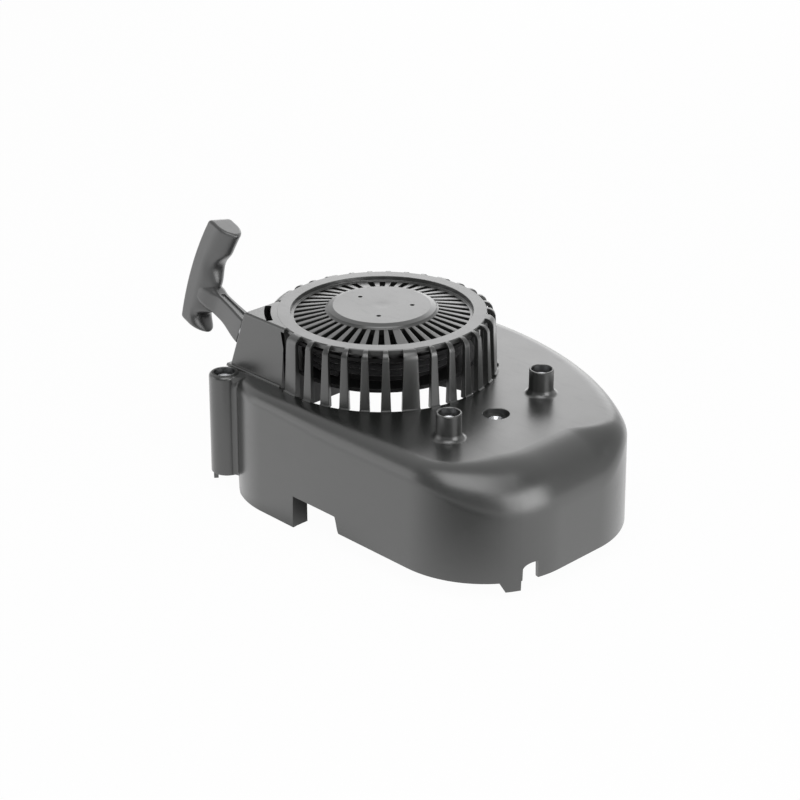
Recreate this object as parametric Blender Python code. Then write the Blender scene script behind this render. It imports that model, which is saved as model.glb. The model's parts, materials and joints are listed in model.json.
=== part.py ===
"""Recoil starter moulded into the fan cowl of a small upright-shaft engine.

Metres, +Z up. The pulley turns about the vertical line X = Y = 0 while the pieces are modelled, with the
cowl's feet at Z = 0. At the end the whole assembly is moved so that its box is centred on the origin.
"""

import math

import bmesh
import bpy
from mathutils import Matrix, Vector

# Clearances
SEAT_GAP = 0.0003
RUN_GAP = 0.0004
SINK = 0.0005
WELD = 0.000005

# Cowl shell, seen from above: straight near side, round end, bowed far side
NEAR_SIDE_Y = -0.0905
FAR_SIDE_Y = 0.1145
COWL_END_X = 0.178
COWL_BACK_X = -0.080
NEAR_END_R = 0.064
FAR_END_R = 0.064
FAR_SIDE_R = 0.247
NEAR_BACK_R = 0.062
PLATE_Z = 0.080
WALL = 0.003
DRAFT = math.radians(1.0)
EDGE_R_BACK = 0.0085
EDGE_R_SIDE = 0.013
EDGE_R_END = 0.030
EDGE_STEPS = 4

# Lower edge of the skirt
SKIRT_Z = 0.0113
AIR_GAP_Z = 0.021
NOTCH_Z = 0.0217
PANEL_ANGLE = math.radians(31.0)
PANEL_END_X = 0.0127
PANEL_RETURN = 0.0125
NOTCH_END_X = 0.0544
NOTCH_BLEND = 0.004
TAB_ANGLES = (math.radians(54.4), math.radians(65.4))
TAB_Z = 0.0050
SLOT_ANGLES = (math.radians(68.5), math.radians(74.3))
SLOT_HEIGHT = 0.011
FAR_FOOT_ANGLES = (math.radians(64.0), math.radians(77.0))
STEP_HALF = 0.0001

# Corner columns and their bushes
COLUMN_R = 0.010
COLUMN_FOOT_R = 0.0108
COLUMN_ANGLE = math.radians(40.4)
COLUMN_OUT = 0.0058
COLUMN_LAND = 0.0004
COLUMN_BRIDGE = 0.022
BUSH_R = 0.0066
BUSH_BORE_R = 0.0034
BUSH_DEPTH = 0.005

# Screw hole in the plate
PLATE_BUSH_X = 0.1025
PLATE_BUSH_Y = -0.0025
PLATE_BUSH_R = 0.00525
PLATE_BUSH_L = 0.026
PLATE_RECESS_R = 0.0085
PLATE_RECESS_DEPTH = 0.004
PILLAR_WALL = 0.003

# Tubular bosses
NEAR_BOSS = (0.1055, -0.0470)
FAR_BOSS = (0.1010, 0.0400)
BOSS_R = 0.00775
BOSS_BORE_R = 0.0064
BOSS_H = 0.0165
BOSS_FLARE_R = 0.0109
BOSS_FLARE_H = 0.004
INSERT_DEPTH = 0.005
INSERT_BORE_R = 0.0032
INSERT_L = 0.010

# Slotted cage
CAGE_R = 0.074
CAGE_FOOT_LEDGE = 0.001
CAGE_LEAN = 0.0015
CAGE_H = 0.0385
RIB_T = 0.003
FOOT_H = 0.001
OPENING_LEDGE = 0.0013
SHOULDER_R = 0.0055
RING_T = 0.0032
RIM_W = 0.0023
RIM_STEP = 0.0028
WIDE_RIB_ANGLE = math.radians(-30.0)
CAGE_SLOTS = 18
CAGE_PITCH = math.radians(9.82)
RIB_FOOT_W = 0.0065
RIB_TOP_W = 0.0042
CAGE_STEPS = 48
PLAIN_RING = (math.radians(198.0), math.radians(212.0))

# Top grille and centre disc
GRILLE_R0 = 0.0362
GRILLE_R1 = 0.0560
GRILLE_RISE = 0.0035
GRILLE_T = 0.0026
GRILLE_SLOTS = 21
GRILLE_PITCH = math.radians(8.4)
GRILLE_SLOT_W = 0.0028
DISC_R = 0.0353
DISC_TOP_R = 0.0312
DISC_RISE = 0.0031
DISC_T = 0.003
DIMPLE_R = 0.0012
DIMPLE_RING_R = 0.020
DIMPLE_DEPTH = 0.001
DIMPLE_ANGLES = [math.radians(a) for a in (-65.0, 55.0, 175.0)]

# Rope box
BOX_FRONT_IN = 0.0040
BOX_FRONT_LEAN = 0.0037
BOX_BACK_IN = 0.0370
BOX_END_IN = 0.0054
BOX_END_LEAN = 0.0112
BOX_INNER_X = -0.018
BOX_WALL = 0.0026
BOX_EDGE = 0.0018
BOX_FOOT_W = 0.0016
BOX_FOOT_H = 0.0014
BOX_HOLE_ANGLES = (math.radians(221.0), math.radians(241.0))
BOX_HOLE_IN = 0.0034
BOX_HOLE_W = 0.0042
BOX_HOLE_STEPS = 6
BOX_GUSSET = 0.013

# Pull line, guide and handle
PULL_TILT = math.radians(15.4)
PULL_YAW = math.radians(6.4)
HANDLE_ROLL = math.radians(9.8)
GUIDE_SETBACK = 0.011
GUIDE_RISE = 0.0223
GUIDE_PROUD = 0.0015
GUIDE_FLANGE_R = 0.0065
GUIDE_FLANGE_T = 0.0012
GUIDE_TUBE_R = 0.0046
GUIDE_L = 0.0055
GUIDE_PLAY = 0.0009
STEM_HALF_Y = 0.0046
STEM_HALF_Z = 0.0069
STEM_CORNER = 0.0016
NOSE_HALF_Y = 0.0066
NOSE_HALF_Z = 0.0080
NOSE_L = 0.012
STEM_ROOT_L = 0.010
STEM_ROOT_Z = 0.0105
STEM_GROOVE_W = 0.0034
STEM_GROOVE_D = 0.0009
BAR_UP = 0.0499
BAR_DOWN = 0.0245
BAR_HALF_Y = 0.0088
BAR_REACH = 0.0558
BAR_BOW = 0.0042
BAR_DEPTH = 0.0224
BAR_FLANK = 0.0090
BAR_EDGE = 0.0013
BAR_ROWS = 18
UPPER_HOLLOW = (0.022, 0.013, 0.0048)
LOWER_HOLLOW = (-0.0165, 0.0080, 0.0080)
POCKET_R = 0.0056
POCKET_DEPTH = 0.011
CAP_T = 0.0025
CAP_SINK = 0.0009

# Rope
ROPE_D = 0.0038
WIND_TURNS = 3
WIND_GAP = 0.0005
GROOVE_PLAY = 0.0005
LOOP_POINTS = 24
KNOT_R = 0.0036

# Pulley
PULLEY_LIFT = 0.007
FLANGE_R = 0.060
FLANGE_T = 0.0025
DRUM_R = 0.047
DRUM_T = 0.003
WEB_LIFT = 0.011
WEB_T = 0.003
HUB_R = 0.013
POST_R = 0.009
CUP_R = 0.0350
CUP_T = 0.002
CUP_DROP = 0.003

# Recoil spring
SPRING_TURNS = 7
SPRING_TURN_POINTS = 16
SPRING_T = 0.0008

# Pawls and their guide
PAWL_PIN_R = 0.0025
PAWL_CIRCLE_R = 0.025
PAWL_EYE_R = 0.0060
PAWL_L = 0.0200
PAWL_TIP_W = 0.0050
PAWL_T = 0.0062
PAWL_AIM = math.radians(100.0)
PAWL_SWING = math.radians(35.0)
PAWL_BOSS_R = 0.0055
PEG_R = 0.0014
PEG_REACH = 0.0085
GUIDE_TURN = math.radians(28.0)
GUIDE_PLATE_R = 0.033
GUIDE_PLATE_T = 0.0022
PAWL_WIRE_R = 0.0004
PAWL_SPRING_PITCH = 0.0014
BRAKE_WIRE_R = 0.0008
BRAKE_TURNS = 2
PAWL_SPRING_TURNS = 3
CURL_POINTS = 10

# Centre screw
SCREW_R = 0.0024
SCREW_L = 0.020
SCREW_HEAD_ACROSS = 0.010
SCREW_HEAD_H = 0.0032
WASHER_R = 0.012
WASHER_T = 0.0015

# Heights that follow from the sizes above
RING_TOP_Z = PLATE_Z + CAGE_H
DISC_TOP_Z = RING_TOP_Z + DISC_RISE
DISC_UNDER_Z = DISC_TOP_Z - DISC_T
ROPE_R = ROPE_D / 2
WIND_R = (DRUM_R + SEAT_GAP + ROPE_R) / math.cos(math.pi / LOOP_POINTS)
WIND_PITCH = ROPE_D + WIND_GAP
PULLEY_Z = PLATE_Z + PULLEY_LIFT
GROOVE_Z = PULLEY_Z + FLANGE_T
GROOVE_H = WIND_TURNS * WIND_PITCH + ROPE_D + 2 * GROOVE_PLAY
UPPER_FLANGE_Z = GROOVE_Z + GROOVE_H
WIND_Z = GROOVE_Z + GROOVE_PLAY + ROPE_R
WEB_Z = PULLEY_Z + WEB_LIFT
WEB_TOP_Z = WEB_Z + WEB_T
CUP_TOP_Z = RING_TOP_Z - CUP_DROP
PAWL_TOP_Z = PULLEY_Z - FLANGE_T / 2
PAWL_Z = PAWL_TOP_Z - PAWL_T
GUIDE_PLATE_TOP_Z = PAWL_Z - SEAT_GAP
GUIDE_PLATE_Z = GUIDE_PLATE_TOP_Z - GUIDE_PLATE_T
POST_END_Z = GUIDE_PLATE_Z - SEAT_GAP
WASHER_TOP_Z = POST_END_Z - SEAT_GAP
SCREW_SEAT_Z = WASHER_TOP_Z - WASHER_T - SEAT_GAP
BUSH_TOP_Z = PLATE_Z - BUSH_DEPTH
CAGE_FOOT_R = CAGE_R + CAGE_FOOT_LEDGE
OPENING_R = CAGE_R - OPENING_LEDGE
RIM_R = GRILLE_R1 + RIM_W
BOX_FRONT_Y = BOX_FRONT_IN - CAGE_R
BOX_BACK_Y = BOX_BACK_IN - CAGE_R
BOX_END_X = BOX_END_IN - CAGE_R
PULL_DIR = Vector((-math.cos(PULL_TILT) * math.cos(PULL_YAW), math.cos(PULL_TILT) * math.sin(PULL_YAW),
                   math.sin(PULL_TILT)))
LEVEL_SIDE = Vector((-math.sin(PULL_YAW), -math.cos(PULL_YAW), 0.0))
BAR_DIR = PULL_DIR.cross(LEVEL_SIDE) * math.cos(HANDLE_ROLL) - LEVEL_SIDE * math.sin(HANDLE_ROLL)
BAR_SIDE = BAR_DIR.cross(PULL_DIR)


# Scene and material helpers


def clear_scene():
    for obj in list(bpy.data.objects):
        bpy.data.objects.remove(obj, do_unlink=True)


def make_material(name, colour, roughness, metallic):
    material = bpy.data.materials.new(name)
    material.use_nodes = True
    shader = material.node_tree.nodes["Principled BSDF"]
    shader.inputs["Base Color"].default_value = (*colour, 1.0)
    shader.inputs["Roughness"].default_value = roughness
    shader.inputs["Metallic"].default_value = metallic
    return material


def add_object(name, bm, material=None):
    bmesh.ops.recalc_face_normals(bm, faces=bm.faces)
    mesh = bpy.data.meshes.new(name)
    bm.to_mesh(mesh)
    bm.free()
    mesh.shade_smooth()
    mesh.set_sharp_from_angle(angle=math.radians(35.0))
    obj = bpy.data.objects.new(name, mesh)
    bpy.context.scene.collection.objects.link(obj)
    if material:
        mesh.materials.append(material)
    return obj


def combine(target, tool, operation):
    """Cuts the tool from the target, or joins it on, and removes the tool."""
    modifier = target.modifiers.new("combine", "BOOLEAN")
    modifier.operation = operation
    modifier.solver = "EXACT"
    modifier.object = tool
    depsgraph = bpy.context.evaluated_depsgraph_get()
    mesh = bpy.data.meshes.new_from_object(target.evaluated_get(depsgraph))
    target.modifiers.clear()
    target.data = mesh
    bm = bmesh.new()
    bm.from_mesh(mesh)
    bmesh.ops.remove_doubles(bm, verts=bm.verts, dist=WELD)
    bmesh.ops.dissolve_degenerate(bm, edges=bm.edges, dist=WELD)
    bm.to_mesh(mesh)
    bm.free()
    bpy.data.objects.remove(tool, do_unlink=True)


def cut(target, bm):
    combine(target, add_object("cutter", bm), "DIFFERENCE")


def join(target, bm):
    combine(target, add_object("addition", bm), "UNION")


# Shape helpers


def loft(rows, close_rows=False):
    """Skins rings of points. Without close_rows the first and last rings are capped."""
    bm = bmesh.new()
    rings = [[bm.verts.new(p) for p in row] for row in rows]
    pairs = list(zip(rings, rings[1:]))
    if close_rows:
        pairs.append((rings[-1], rings[0]))
    for low, high in pairs:
        for i in range(len(low)):
            j = (i + 1) % len(low)
            bm.faces.new((low[i], low[j], high[j], high[i]))
    if not close_rows:
        bm.faces.new(rings[0])
        bm.faces.new(rings[-1])
    return bm


def turned(profile, steps, place=None):
    """Spins a closed (radius, height) outline about Z. Points on the axis become single points."""
    bm = bmesh.new()
    rings = []
    for radius, height in profile:
        if radius == 0.0:
            rings.append([bm.verts.new((0.0, 0.0, height))])
        else:
            angles = [2 * math.pi * k / steps for k in range(steps)]
            rings.append([bm.verts.new((radius * math.cos(a), radius * math.sin(a), height)) for a in angles])
    for low, high in zip(rings, rings[1:] + rings[:1]):
        for i in range(steps):
            j = (i + 1) % steps
            corners = []
            for vert in (low[i % len(low)], low[j % len(low)], high[j % len(high)], high[i % len(high)]):
                if vert not in corners:
                    corners.append(vert)
            if len(corners) > 2:
                bm.faces.new(corners)
    if place is not None:
        bmesh.ops.transform(bm, matrix=place, verts=bm.verts)
    return bm


def cylinder(radius, z0, z1, steps=24, place=None):
    return turned([(0.0, z0), (radius, z0), (radius, z1), (0.0, z1)], steps, place)


def sleeve(inner, outer, z0, z1, steps=24, place=None):
    return turned([(inner, z0), (outer, z0), (outer, z1), (inner, z1)], steps, place)


def prism(outline, z0, z1):
    return loft([[(x, y, z) for x, y in outline] for z in (z0, z1)])


def block(x0, x1, y0, y1, z0, z1):
    return prism([(x0, y0), (x1, y0), (x1, y1), (x0, y1)], z0, z1)


def arc(centre, radius, start, end, steps):
    angles = [start + (end - start) * k / steps for k in range(steps + 1)]
    return [(centre[0] + radius * math.cos(a), centre[1] + radius * math.sin(a)) for a in angles]


def at(x, y, z=0.0):
    return Matrix.Translation((x, y, z))


def smooth(value, low, high):
    t = min(1.0, max(0.0, (value - low) / (high - low)))
    return t * t * (3 - 2 * t)


def merge(solids):
    """Gathers separate solids into one mesh, to cut or join them all in one go."""
    bm = bmesh.new()
    for solid in solids:
        mesh = bpy.data.meshes.new("piece")
        bmesh.ops.recalc_face_normals(solid, faces=solid.faces)
        solid.to_mesh(mesh)
        bm.from_mesh(mesh)
        bpy.data.meshes.remove(mesh)
        solid.free()
    return bm


# Cowl shell


def far_end_centre():
    """Centre of the arc that joins the end to the bowed far side, tangent to both."""
    x = COWL_END_X - FAR_END_R
    return Vector((x, FAR_SIDE_Y - FAR_SIDE_R + math.sqrt((FAR_SIDE_R - FAR_END_R) ** 2 - x**2)))


def near_back_centre():
    return Vector((COWL_BACK_X + NEAR_BACK_R, NEAR_SIDE_Y + NEAR_BACK_R))


def far_back_centre():
    """The far back corner is struck about X = 0, so its radius is the back end's distance."""
    return Vector((0.0, FAR_SIDE_Y + COWL_BACK_X))


def skirt_stations():
    """Points round the foot of the skirt: place, direction inwards, lower edge and top edge radius."""
    stations = []
    near_end = Vector((COWL_END_X - NEAR_END_R, NEAR_SIDE_Y + NEAR_END_R))
    far_end = far_end_centre()
    far_side = Vector((0.0, FAR_SIDE_Y - FAR_SIDE_R))
    far_turn = math.atan2(far_end.y - far_side.y, far_end.x)
    near_back = near_back_centre()
    quarter = math.pi / 2

    def on_arc(centre, radius, angle, height, edge):
        out = Vector((math.cos(angle), math.sin(angle)))
        stations.append((centre + out * radius, -out, height, edge))

    def on_near_side(x, height):
        edge = EDGE_R_BACK + (EDGE_R_SIDE - EDGE_R_BACK) * smooth(x, near_back.x, NOTCH_END_X)
        stations.append((Vector((x, NEAR_SIDE_Y)), Vector((0.0, 1.0)), height, edge))

    # Near side: low panel, notch and main skirt
    for x in (near_back.x, (near_back.x + PANEL_END_X) / 2, PANEL_END_X - STEP_HALF):
        on_near_side(x, 0.0)
    on_near_side(PANEL_END_X + STEP_HALF, NOTCH_Z)
    for k in range(4):
        share = k / 3
        height = NOTCH_Z + (SKIRT_Z - NOTCH_Z) * smooth(share, 0.0, 1.0)
        on_near_side(NOTCH_END_X - NOTCH_BLEND * (1 - share), height)
    on_near_side((NOTCH_END_X + near_end.x) / 2, SKIRT_Z)

    # Near corner of the end: foot tab and round-topped slot
    step = STEP_HALF / NEAR_END_R
    marks = [(quarter * k / 11, SKIRT_Z) for k in (0, 1, 2, 3, 4, 5, 6, 10, 11)]
    marks += [(TAB_ANGLES[0] - step, SKIRT_Z), (TAB_ANGLES[1] + step, SKIRT_Z)]
    marks += [(TAB_ANGLES[0] + step, TAB_Z), (TAB_ANGLES[1] - step, TAB_Z)]
    marks += [(SLOT_ANGLES[0] - step, SKIRT_Z), (SLOT_ANGLES[1] + step, SKIRT_Z)]
    slot_mid = (SLOT_ANGLES[0] + SLOT_ANGLES[1]) / 2
    slot_half = (SLOT_ANGLES[1] - SLOT_ANGLES[0]) / 2
    slot_round = slot_half * NEAR_END_R
    for k in range(5):
        turn = math.cos(math.pi * k / 4)
        rise = math.sqrt(max(0.0, 1 - turn * turn))
        marks.append((slot_mid + turn * slot_half, SKIRT_Z + SLOT_HEIGHT - slot_round * (1 - rise)))
    for angle, height in sorted(marks):
        edge = EDGE_R_SIDE + (EDGE_R_END - EDGE_R_SIDE) * smooth(angle, 0.0, quarter * 0.7)
        on_arc(near_end, NEAR_END_R, angle - quarter, height, edge)

    # End, far corner, and far side with its foot
    middle = Vector((COWL_END_X, (near_end.y + far_end.y) / 2))
    stations.append((middle, Vector((-1.0, 0.0)), SKIRT_Z, EDGE_R_END))
    for k in range(7):
        edge = EDGE_R_END + (EDGE_R_SIDE - EDGE_R_END) * smooth(k / 6, 0.0, 0.7)
        on_arc(far_end, FAR_END_R, far_turn * k / 6, SKIRT_Z, edge)
    step = STEP_HALF / FAR_SIDE_R
    marks = [(far_turn + (FAR_FOOT_ANGLES[0] - far_turn) / 2, SKIRT_Z), (FAR_FOOT_ANGLES[0] - step, SKIRT_Z)]
    foot_middle = sum(FAR_FOOT_ANGLES) / 2
    marks += [(FAR_FOOT_ANGLES[0] + step, 0.0), (foot_middle, 0.0), (FAR_FOOT_ANGLES[1] - step, 0.0)]
    marks += [(FAR_FOOT_ANGLES[1] + step, AIR_GAP_Z), ((FAR_FOOT_ANGLES[1] + quarter) / 2, AIR_GAP_Z)]
    for angle, height in marks:
        on_arc(far_side, FAR_SIDE_R, angle, height, EDGE_R_SIDE)

    # Back end, raised for air, up to the low panel
    for k in range(11):
        edge = EDGE_R_SIDE + (EDGE_R_BACK - EDGE_R_SIDE) * smooth(k / 10, 0.0, 1.0)
        on_arc(far_back_centre(), -COWL_BACK_X, quarter * (1 + k / 10), AIR_GAP_Z, edge)
    step = STEP_HALF / NEAR_BACK_R
    marks = [(quarter * k / 10, AIR_GAP_Z if quarter * k / 10 > PANEL_ANGLE else 0.0) for k in range(1, 11)]
    marks += [(PANEL_ANGLE + step, AIR_GAP_Z), (PANEL_ANGLE - step, 0.0)]
    for angle, height in sorted(marks, reverse=True):
        on_arc(near_back, NEAR_BACK_R, -quarter - angle, height, EDGE_R_BACK)
    return stations


def shell_rows(inset):
    """Rings of points up the skirt and over its rounded edge, inset from the outside by a thickness."""
    rows = [[] for _ in range(EDGE_STEPS + 2)]
    for point, inward, height, radius in skirt_stations():
        lean = math.tan(DRAFT)
        foot = point + inward * (inset + height * lean)
        rows[0].append((foot.x, foot.y, height))
        turn_z = PLATE_Z - radius
        for k in range(EDGE_STEPS + 1):
            angle = math.pi / 2 * k / EDGE_STEPS
            across = turn_z * lean + radius - (radius - inset) * math.cos(angle)
            place = point + inward * across
            rows[k + 1].append((place.x, place.y, turn_z + (radius - inset) * math.sin(angle)))
    return rows


def build_shell(material):
    outer = shell_rows(0.0)
    inner = shell_rows(WALL)
    return add_object("fan_cowl", loft(inner[::-1] + outer), material)


def column_places():
    """Each corner column's centre, just outside its back corner's arc, direction outwards and foot."""
    places = {}
    for name, side, centre, radius, foot in (("near", -1, near_back_centre(), NEAR_BACK_R, SKIRT_Z),
                                             ("far", 1, far_back_centre(), -COWL_BACK_X, AIR_GAP_Z)):
        out = Vector((-math.sin(COLUMN_ANGLE), side * math.cos(COLUMN_ANGLE)))
        places[name] = (centre + out * (radius + COLUMN_OUT), out, foot)
    return places


def add_columns(cowl):
    for centre, out, foot in column_places().values():
        top = PLATE_Z + COLUMN_LAND
        edge = COLUMN_R * 0.15
        profile = [(0.0, foot), (COLUMN_FOOT_R, foot), (COLUMN_R, top - edge), (COLUMN_R - edge, top),
                   (0.0, top)]
        join(cowl, turned(profile, 24, at(centre.x, centre.y)))
        across = Vector((-out.y, out.x)) * (COLUMN_R - edge)
        inner = centre - out * COLUMN_BRIDGE
        outline = [centre + across, inner + across, inner - across, centre - across]
        join(cowl, prism([(p.x, p.y) for p in outline], PLATE_Z - EDGE_R_BACK, PLATE_Z - COLUMN_LAND))
        cut(cowl, cylinder(BUSH_R + SEAT_GAP, foot - WALL, top + WALL, 24, at(centre.x, centre.y)))


def add_plate_features(cowl):
    wall_y = NEAR_SIDE_Y + PLATE_Z * math.tan(DRAFT)
    join(cowl, block(PANEL_END_X - WALL, PANEL_END_X - 2 * STEP_HALF, wall_y + WALL / 4,
                     NEAR_SIDE_Y + PANEL_RETURN, STEP_HALF, PLATE_Z - EDGE_R_SIDE))
    pillar_r = PLATE_BUSH_R + SEAT_GAP + PILLAR_WALL
    pillar_z = PLATE_Z - PLATE_RECESS_DEPTH - PLATE_BUSH_L
    place = at(PLATE_BUSH_X, PLATE_BUSH_Y)
    pillar_top = PLATE_Z - WALL / 3
    join(cowl, turned([(0.0, pillar_z), (pillar_r, pillar_z), (PLATE_RECESS_R + PILLAR_WALL, pillar_top),
                       (0.0, pillar_top)], 24, place))
    bore_r = PLATE_BUSH_R + SEAT_GAP
    recess_z = PLATE_Z - PLATE_RECESS_DEPTH + SEAT_GAP
    cut(cowl, turned([(0.0, pillar_z - WALL), (bore_r, pillar_z - WALL), (bore_r, recess_z),
                      (PLATE_RECESS_R, recess_z + PLATE_RECESS_R - bore_r), (PLATE_RECESS_R, PLATE_Z + WALL),
                      (0.0, PLATE_Z + WALL)], 24, place))
    for spot in (NEAR_BOSS, FAR_BOSS):
        place = at(*spot)
        top = PLATE_Z + BOSS_H
        seat = top - INSERT_DEPTH - INSERT_L - SEAT_GAP
        low = seat - WALL
        join(cowl, turned([(0.0, low), (BOSS_R, low), (BOSS_FLARE_R, PLATE_Z - WALL / 2),
                           (BOSS_FLARE_R, PLATE_Z), (BOSS_R, PLATE_Z + BOSS_FLARE_H), (BOSS_R, top),
                           (0.0, top)], 24, place))
        cut(cowl, turned([(0.0, low - WALL), (INSERT_BORE_R, low - WALL), (INSERT_BORE_R, seat),
                          (BOSS_BORE_R, seat), (BOSS_BORE_R, top + WALL), (0.0, top + WALL)], 24, place))


# Cage, grille and rope box


def grille_z(radius):
    """Height of the grille's upper face, a shallow cone."""
    low = RING_TOP_Z - RIM_STEP
    return low + GRILLE_RISE * (GRILLE_R1 - radius) / (GRILLE_R1 - GRILLE_R0)


def build_cage(material):
    top_r = CAGE_R - CAGE_LEAN
    inner_r = CAGE_R - RIB_T
    turn_z = RING_TOP_Z - SHOULDER_R
    inside_r = SHOULDER_R - RIB_T
    shoulder = arc((top_r - SHOULDER_R, turn_z), SHOULDER_R, 0.0, math.pi / 2, 3)
    hollow = arc((top_r - SHOULDER_R, turn_z), inside_r, math.pi / 2, 0.0, 1)
    ring_under = RING_TOP_Z - RING_T
    rim_inner = RIM_R - GRILLE_T / 8
    collar = RIM_R + GRILLE_T / 2
    sunk = OPENING_R + SINK / 2
    profile = [(sunk, PLATE_Z - WALL / 2), (CAGE_FOOT_R, PLATE_Z - WALL / 2), (CAGE_FOOT_R, PLATE_Z + FOOT_H),
               (CAGE_R, PLATE_Z + 1.3 * FOOT_H)]
    profile += shoulder
    inner_z, outer_z = grille_z(GRILLE_R0), grille_z(GRILLE_R1)
    profile += [(RIM_R, RING_TOP_Z), (rim_inner, RING_TOP_Z - RIM_STEP), (GRILLE_R1, outer_z),
                (GRILLE_R0, inner_z), (DISC_R, inner_z + DISC_RISE / 4),
                (DISC_R - DISC_RISE / 4, DISC_TOP_Z - DISC_RISE / 4), (DISC_TOP_R, DISC_TOP_Z),
                (0.0, DISC_TOP_Z), (0.0, DISC_UNDER_Z), (DISC_TOP_R, DISC_UNDER_Z),
                (GRILLE_R0, inner_z - GRILLE_T), (GRILLE_R1, outer_z - GRILLE_T),
                (collar, outer_z - GRILLE_T), (collar, ring_under)]
    profile += [(r, min(z, ring_under)) for r, z in hollow]
    profile += [(inner_r, PLATE_Z - SINK), (sunk, PLATE_Z - SINK)]
    return add_object("cage", turned(profile, CAGE_STEPS), material)


def half_turn_angles(count, pitch):
    """Slot angles, in two equal sets that leave a wide rib at each end of one diameter."""
    first = WIDE_RIB_ANGLE + (math.pi - (count - 1) * pitch) / 2
    return [first + half * math.pi + k * pitch for half in range(2) for k in range(count)]


def cage_slot(angle):
    """A radial cutter, wider at the top, that also wraps over the cage's shoulder."""
    inner = CAGE_R - CAGE_LEAN - SHOULDER_R
    outer = CAGE_FOOT_R + WALL
    pitch_w = CAGE_PITCH * CAGE_R
    low_half = (pitch_w - RIB_FOOT_W) / 2
    high_half = (pitch_w - RIB_TOP_W) / 2
    low = PLATE_Z - WALL / 3
    high = RING_TOP_Z + WALL
    rows = []
    for z, half in ((low, low_half), (high, high_half)):
        rows.append([(inner, -half, z), (outer, -half, z), (outer, half, z), (inner, half, z)])
    bm = loft(rows)
    bmesh.ops.rotate(bm, matrix=Matrix.Rotation(angle, 3, "Z"), verts=bm.verts)
    return bm


def grille_slot(angle):
    half = GRILLE_SLOT_W / 2
    low = PLATE_Z + CAGE_H / 2
    bm = block(GRILLE_R0 + half / 2, GRILLE_R1 - half / 4, -half, half, low, DISC_TOP_Z + WALL)
    bmesh.ops.rotate(bm, matrix=Matrix.Rotation(angle, 3, "Z"), verts=bm.verts)
    return bm


def rope_box_angles():
    """Cage angles between which the rope box takes the place of the slots."""
    front = math.atan2(BOX_FRONT_Y, -math.sqrt(CAGE_R**2 - BOX_FRONT_Y**2))
    back = math.atan2(BOX_BACK_Y, -math.sqrt(CAGE_R**2 - BOX_BACK_Y**2))
    return back % (2 * math.pi), front % (2 * math.pi)


def box_solid(inset, z0, z1, inner_x):
    """The leaning rope box, drawn in by a wall thickness on its front, back and end."""
    rows = []
    for z in (z0, z1):
        share = (z - PLATE_Z) / CAGE_H
        front = BOX_FRONT_Y + BOX_FRONT_LEAN * share + inset
        end = BOX_END_X + BOX_END_LEAN * share + inset
        rows.append([(end, front, z), (inner_x, front, z), (inner_x, BOX_BACK_Y - inset, z),
                     (end, BOX_BACK_Y - inset, z)])
    return loft(rows)


def add_rope_box(cage):
    top = RING_TOP_Z - SINK / 2
    bm = box_solid(0.0, PLATE_Z - WALL / 2, top, BOX_INNER_X)
    edges = [e for e in bm.edges if max(v.co.x for v in e.verts) < BOX_INNER_X - WALL]
    high = [e for e in bm.edges if min(v.co.z for v in e.verts) > top - SINK and e not in edges]
    bmesh.ops.bevel(bm, geom=edges + high, offset=BOX_EDGE, segments=2, affect="EDGES", profile=0.5)
    box = add_object("rope_box", bm)
    join(box, box_solid(-BOX_FOOT_W, PLATE_Z - WALL / 2, PLATE_Z + BOX_FOOT_H, BOX_INNER_X))
    wall_inner = CAGE_R - RIB_T + SINK / 2
    under = RING_TOP_Z - RING_T + SINK
    ring_inner = CAGE_R - 2 * SHOULDER_R
    cut(box, turned([(0.0, PLATE_Z - WALL), (wall_inner, PLATE_Z - WALL), (wall_inner, under),
                     (ring_inner, under), (ring_inner, DISC_TOP_Z), (0.0, DISC_TOP_Z)], CAGE_STEPS))
    combine(cage, box, "UNION")
    passage = box_solid(BOX_WALL, PLATE_Z + BOX_WALL, RING_TOP_Z - RING_T, BOX_INNER_X + WALL)
    cut(cage, passage)
    hole_r = CAGE_R - BOX_HOLE_IN
    outline = arc((0.0, 0.0), hole_r, *BOX_HOLE_ANGLES, BOX_HOLE_STEPS)
    outline += arc((0.0, 0.0), hole_r + BOX_HOLE_W, *BOX_HOLE_ANGLES[::-1], BOX_HOLE_STEPS)
    cut(cage, prism(outline, RING_TOP_Z - RING_T - WALL, RING_TOP_Z + WALL))
    seat = guide_matrix()
    cut(cage, cylinder(GUIDE_FLANGE_R + SEAT_GAP, -GUIDE_FLANGE_T - SEAT_GAP, CAGE_FOOT_R / 4, 24, seat))
    cut(cage, cylinder(GUIDE_TUBE_R + SEAT_GAP, -CAGE_FOOT_R / 5, CAGE_FOOT_R / 4, 24, seat))


def add_box_gusset(cowl):
    """Fills in under the rope box's outer corner, which stands past the cowl's rounded edge."""
    end = BOX_END_X - BOX_FOOT_W / 2
    front = BOX_FRONT_Y - BOX_FOOT_W / 2
    outline = [(end, front), (end + BOX_GUSSET, front), (end, front + BOX_GUSSET)]
    join(cowl, prism(outline, PLATE_Z - EDGE_R_BACK, PLATE_Z - WALL / 4))


def add_post(cage):
    bore_top = SCREW_SEAT_Z + SCREW_L + WALL
    join(cage, cylinder(POST_R, POST_END_Z, DISC_TOP_Z - DISC_T / 2, 24))
    cut(cage, cylinder(SCREW_R + SEAT_GAP, POST_END_Z - WALL, bore_top, 24))


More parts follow.
